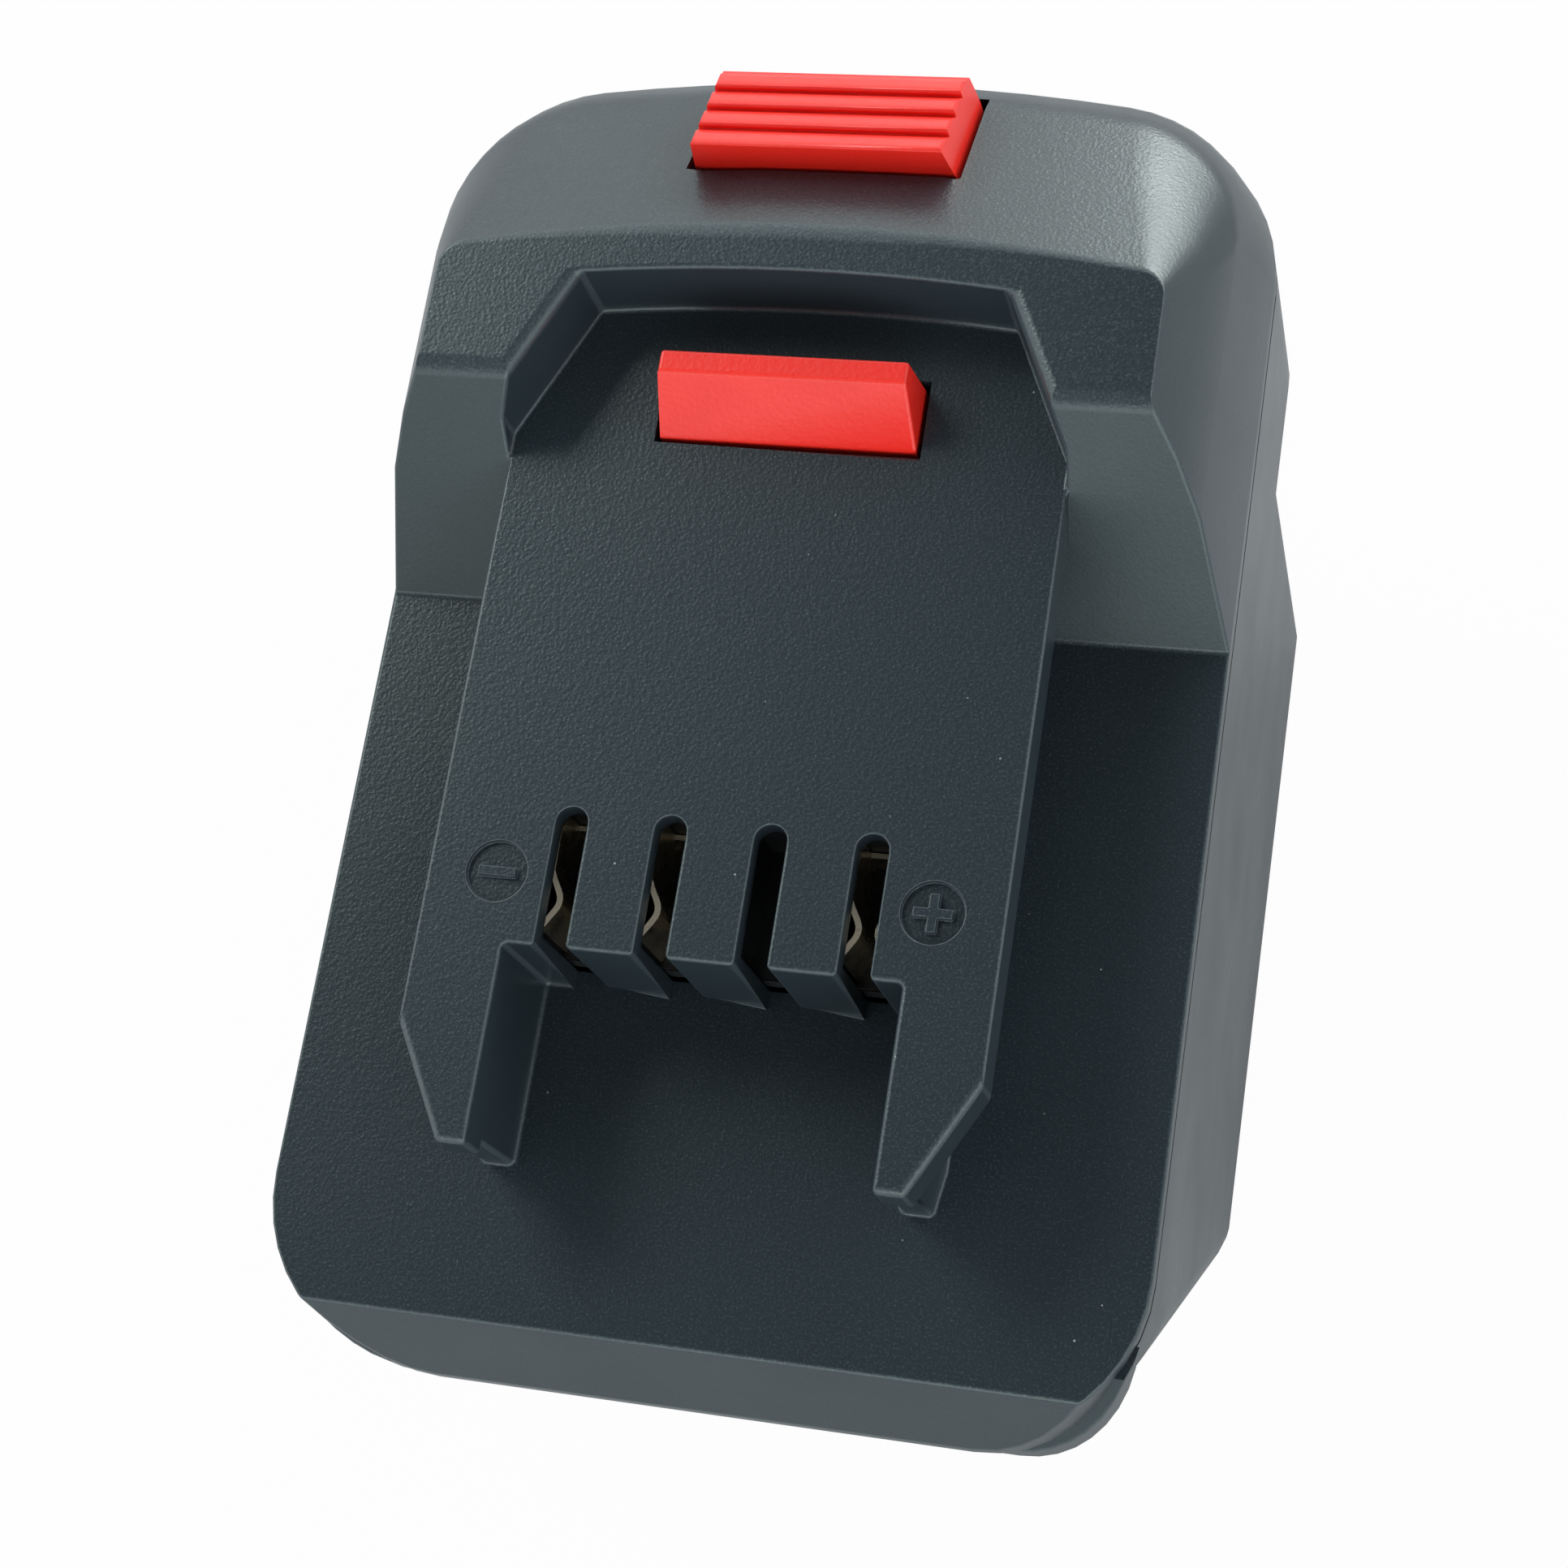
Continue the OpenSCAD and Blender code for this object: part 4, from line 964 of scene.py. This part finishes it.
@dataclass
class Latch:
    """The red release latch and the two springs that lift it."""

    edge_mm: float = 0.3

    def build(self, frame: Frame) -> None:
        """Round the latch and wind its springs.

        Args:
            frame: The loaded frame.
        """
        Moulding("release_latch", "red_plastic", self.edge_mm, Body.LATCH).build(frame, RED.build())
        wire = WIRE.build()
        for side in ("left", "right"):
            ReturnSpring(f"latch_spring_{side}").build(frame, wire)


@dataclass
class Contacts:
    """The carrier behind the mouth with its three forked clips."""

    carrier_edge_mm: float = 0.2
    sheet_edge_mm: float = 0.08

    def build(self, frame: Frame, inner: bpy.types.Material, nickel: bpy.types.Material) -> None:
        """Round the carrier and the edges of the sheet.

        Args:
            frame: The loaded frame.
            inner: Finish of the carrier.
            nickel: Finish of the clips.
        """
        Moulding("contact_carrier", "inner_plastic", self.carrier_edge_mm).build(frame, inner)
        for pole in ("negative", "signal", "positive"):
            Moulding(f"{pole}_clip", "contact_metal", self.sheet_edge_mm, rings=2).build(frame, nickel)


@dataclass
class BatterySocket:
    """The sleeve in the rear face, its terminal block, blades and leads."""

    sleeve_edge_mm: float = 0.25
    blade_edge_mm: float = 0.12

    def build(self, frame: Frame, inner: bpy.types.Material, nickel: bpy.types.Material) -> None:
        """Round the socket's pieces and colour its leads.

        Args:
            frame: The loaded frame.
            inner: Finish of the sleeve and the block.
            nickel: Finish of the blades.
        """
        for node in ("socket_sleeve", "terminal_block"):
            Moulding(node, "inner_plastic", self.sleeve_edge_mm).build(frame, inner)
        leads = {"negative": ("black", "#1b1b1c"), "signal": ("yellow", "#e0b21e"),
                 "positive": ("red", "#b3201b")}
        for pole, (name, colour) in leads.items():
            Moulding(f"{pole}_blade", "contact_metal", self.blade_edge_mm, rings=2).build(frame, nickel)
            Lead(f"{pole}_lead", f"{name}_lead").build(frame, insulation(colour, name).build())


@dataclass
class Lead:
    """One insulated lead, drawn rounder than its plain solid."""

    node: str
    slot: str
    crease_deg: float = 60.0

    def build(self, frame: Frame, material: bpy.types.Material) -> bpy.types.Object:
        """Make the round copy and let it stand for its node.

        Args:
            frame: The loaded frame.
            material: Finish of the insulation.

        Returns:
            The new piece.
        """
        welded = weld(frame["nodes"][self.node])
        creases = welded.edges.layers.float.new("crease_edge")
        for edge in welded.edges:
            edge[creases] = 1.0 if edge.calc_face_angle(0.0) > math.radians(self.crease_deg) else 0.0
        for face in welded.faces:
            face.smooth = True
        mesh = bpy.data.meshes.new(self.node + "_round")
        welded.to_mesh(mesh)
        welded.free()
        mesh.materials.append(material)
        piece = bpy.data.objects.new(self.node + "_round", mesh)
        bpy.context.scene.collection.objects.link(piece)
        rounder = piece.modifiers.new("round", "SUBSURF")
        rounder.levels = rounder.render_levels = 1
        bake_modifiers(piece)
        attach(piece, Body.HOUSING.value)
        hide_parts(self.node)
        LOG.info("%s: %d faces", piece.name, len(piece.data.polygons))
        return piece


@dataclass
class Fasteners:
    """The four sets of screws."""

    edge_mm: float = 0.1

    def build(self, frame: Frame) -> None:
        """Round the screw heads and plate them.

        Args:
            frame: The loaded frame.
        """
        zinc = ZINC.build()
        for use in ("housing", "carrier", "sleeve", "terminal"):
            Moulding(f"{use}_screws", "screw_steel", self.edge_mm, rings=2).build(frame, zinc)


@dataclass(frozen=True)
class SoftLamp:
    """One soft lamp that looks at the adapter."""

    name: str
    place_m: tuple[float, float, float]
    size_m: tuple[float, float]
    power_w: float
    colour: str = "#ffffff"

    def build(self, aim: Vector) -> None:
        """Hang the lamp and turn it to its aim.

        Args:
            aim: Point that the lamp looks at.
        """
        data = bpy.data.lights.new(self.name, "AREA")
        data.shape = "RECTANGLE"
        data.size, data.size_y = self.size_m
        data.energy = self.power_w
        data.color = linear(self.colour)[:3]
        lamp = bpy.data.objects.new(self.name, data)
        lamp.location = self.place_m
        lamp.rotation_euler = (aim - lamp.location).to_track_quat("-Z", "Y").to_euler()
        bpy.context.scene.collection.objects.link(lamp)
        LOG.info("%s: %.1f W", self.name, self.power_w)


@dataclass
class Studio:
    """White sweep, soft lamps and the camera of the photograph."""

    floor_m: float = 6.0
    # Brightness of the walls and of the ceiling, and the heights between which one becomes the other
    walls: float = 1.7
    ceiling: float = 0.05
    fade: tuple[float, float] = (0.5, 0.78)
    # Side of the room where the walls are bright only low down, and by how much lower
    dark_side: tuple[float, float, float] = (0.6, -0.8, 0.0)
    dark_drop: float = 0.1
    # Camera found from the photograph: where it stands, and its right, up and back directions
    camera_m: tuple[float, float, float] = (0.0660, -0.08131, 0.30529)
    right: tuple[float, float, float] = (0.9652, 0.1556, -0.2104)
    up: tuple[float, float, float] = (-0.0841, 0.9459, 0.3135)
    back: tuple[float, float, float] = (0.2477, -0.2849, 0.9260)
    lens_mm: float = 69.37
    sensor_mm: float = 36.0
    near_m: float = 0.01
    lamps: tuple[SoftLamp, ...] = (
        SoftLamp("left window", (-0.64, 0.46, 0.74), (0.44, 0.36), 3.8),
        SoftLamp("right back strip", (0.30, 0.90, 0.20), (0.60, 0.22), 5.0),
        SoftLamp("front fill", (0.40, -0.80, 0.36), (1.5, 0.9), 4.6),
    )

    def build(self) -> None:
        """Lay the floor, light the adapter and set up the camera."""
        self._floor()
        self._world()
        low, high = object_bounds()
        for lamp in self.lamps:
            lamp.build((low + high) / 2)
        self._camera()

    def _floor(self) -> None:
        """Lay the white sweep level with the rear face."""
        mesh = bmesh.new()
        bmesh.ops.create_grid(mesh, x_segments=8, y_segments=8, size=self.floor_m / 2)
        data = bpy.data.meshes.new("paper_sweep")
        mesh.to_mesh(data)
        mesh.free()
        data.materials.append(PaperSweep().build())
        floor = bpy.data.objects.new("paper_sweep", data)
        floor.location.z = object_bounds()[0].z
        bpy.context.scene.collection.objects.link(floor)
        floor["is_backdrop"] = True

    def _world(self) -> None:
        """Surround the adapter with white walls that darken towards the ceiling."""
        world = bpy.data.worlds.new("white room")
        world.use_nodes = True
        tree = world.node_tree
        tree.nodes.clear()
        way = add(tree, "TexCoord").outputs["Generated"]
        side = add(tree, "VectorMath", {0: way, 1: self.dark_side}, operation="DOT_PRODUCT").outputs[1]
        lower = add(tree, "MapRange", {0: side, 4: self.dark_drop}).outputs[0]
        height = add(tree, "SeparateXYZ", {0: way}).outputs["Z"]
        height = add(tree, "Math", {0: height, 1: lower}, operation="ADD").outputs[0]
        level = add(tree, "MapRange", {0: height, 1: self.fade[0], 2: self.fade[1], 3: self.walls,
                                       4: self.ceiling}, interpolation_type="SMOOTHSTEP").outputs[0]
        camera = add(tree, "LightPath").outputs["Is Camera Ray"]
        shown = add(tree, "Mix", {0: camera, 2: level, 3: 1.0}, data_type="FLOAT").outputs[0]
        light = add(tree, "Background", {0: (1.0, 1.0, 1.0, 1.0), 1: shown}).outputs[0]
        add(tree, "OutputWorld", {0: light})
        bpy.context.scene.world = world

    def _camera(self) -> None:
        """Stand the camera where the photograph was taken."""
        data = bpy.data.cameras.new("photo camera")
        data.sensor_fit = "HORIZONTAL"
        data.sensor_width = self.sensor_mm
        data.lens = self.lens_mm
        data.clip_start = self.near_m
        camera = bpy.data.objects.new("photo camera", data)
        turn = Matrix((self.right, self.up, self.back)).transposed()
        camera.matrix_world = Matrix.Translation(self.camera_m) @ turn.to_4x4()
        bpy.context.scene.collection.objects.link(camera)
        bpy.context.scene.camera = camera


def main() -> None:
    """Build every sub-assembly in order and note the sizes."""
    logging.basicConfig(level=logging.INFO, format="%(name)s: %(message)s")
    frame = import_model()
    bpy.context.scene.view_settings.view_transform = "Standard"
    inner, nickel = INNER.build(), NICKEL.build()
    Housing().build(frame)
    Latch().build(frame)
    Contacts().build(frame, inner, nickel)
    BatterySocket().build(frame, inner, nickel)
    Fasteners().build(frame)
    Studio().build()


if __name__ == "__main__":
    main()
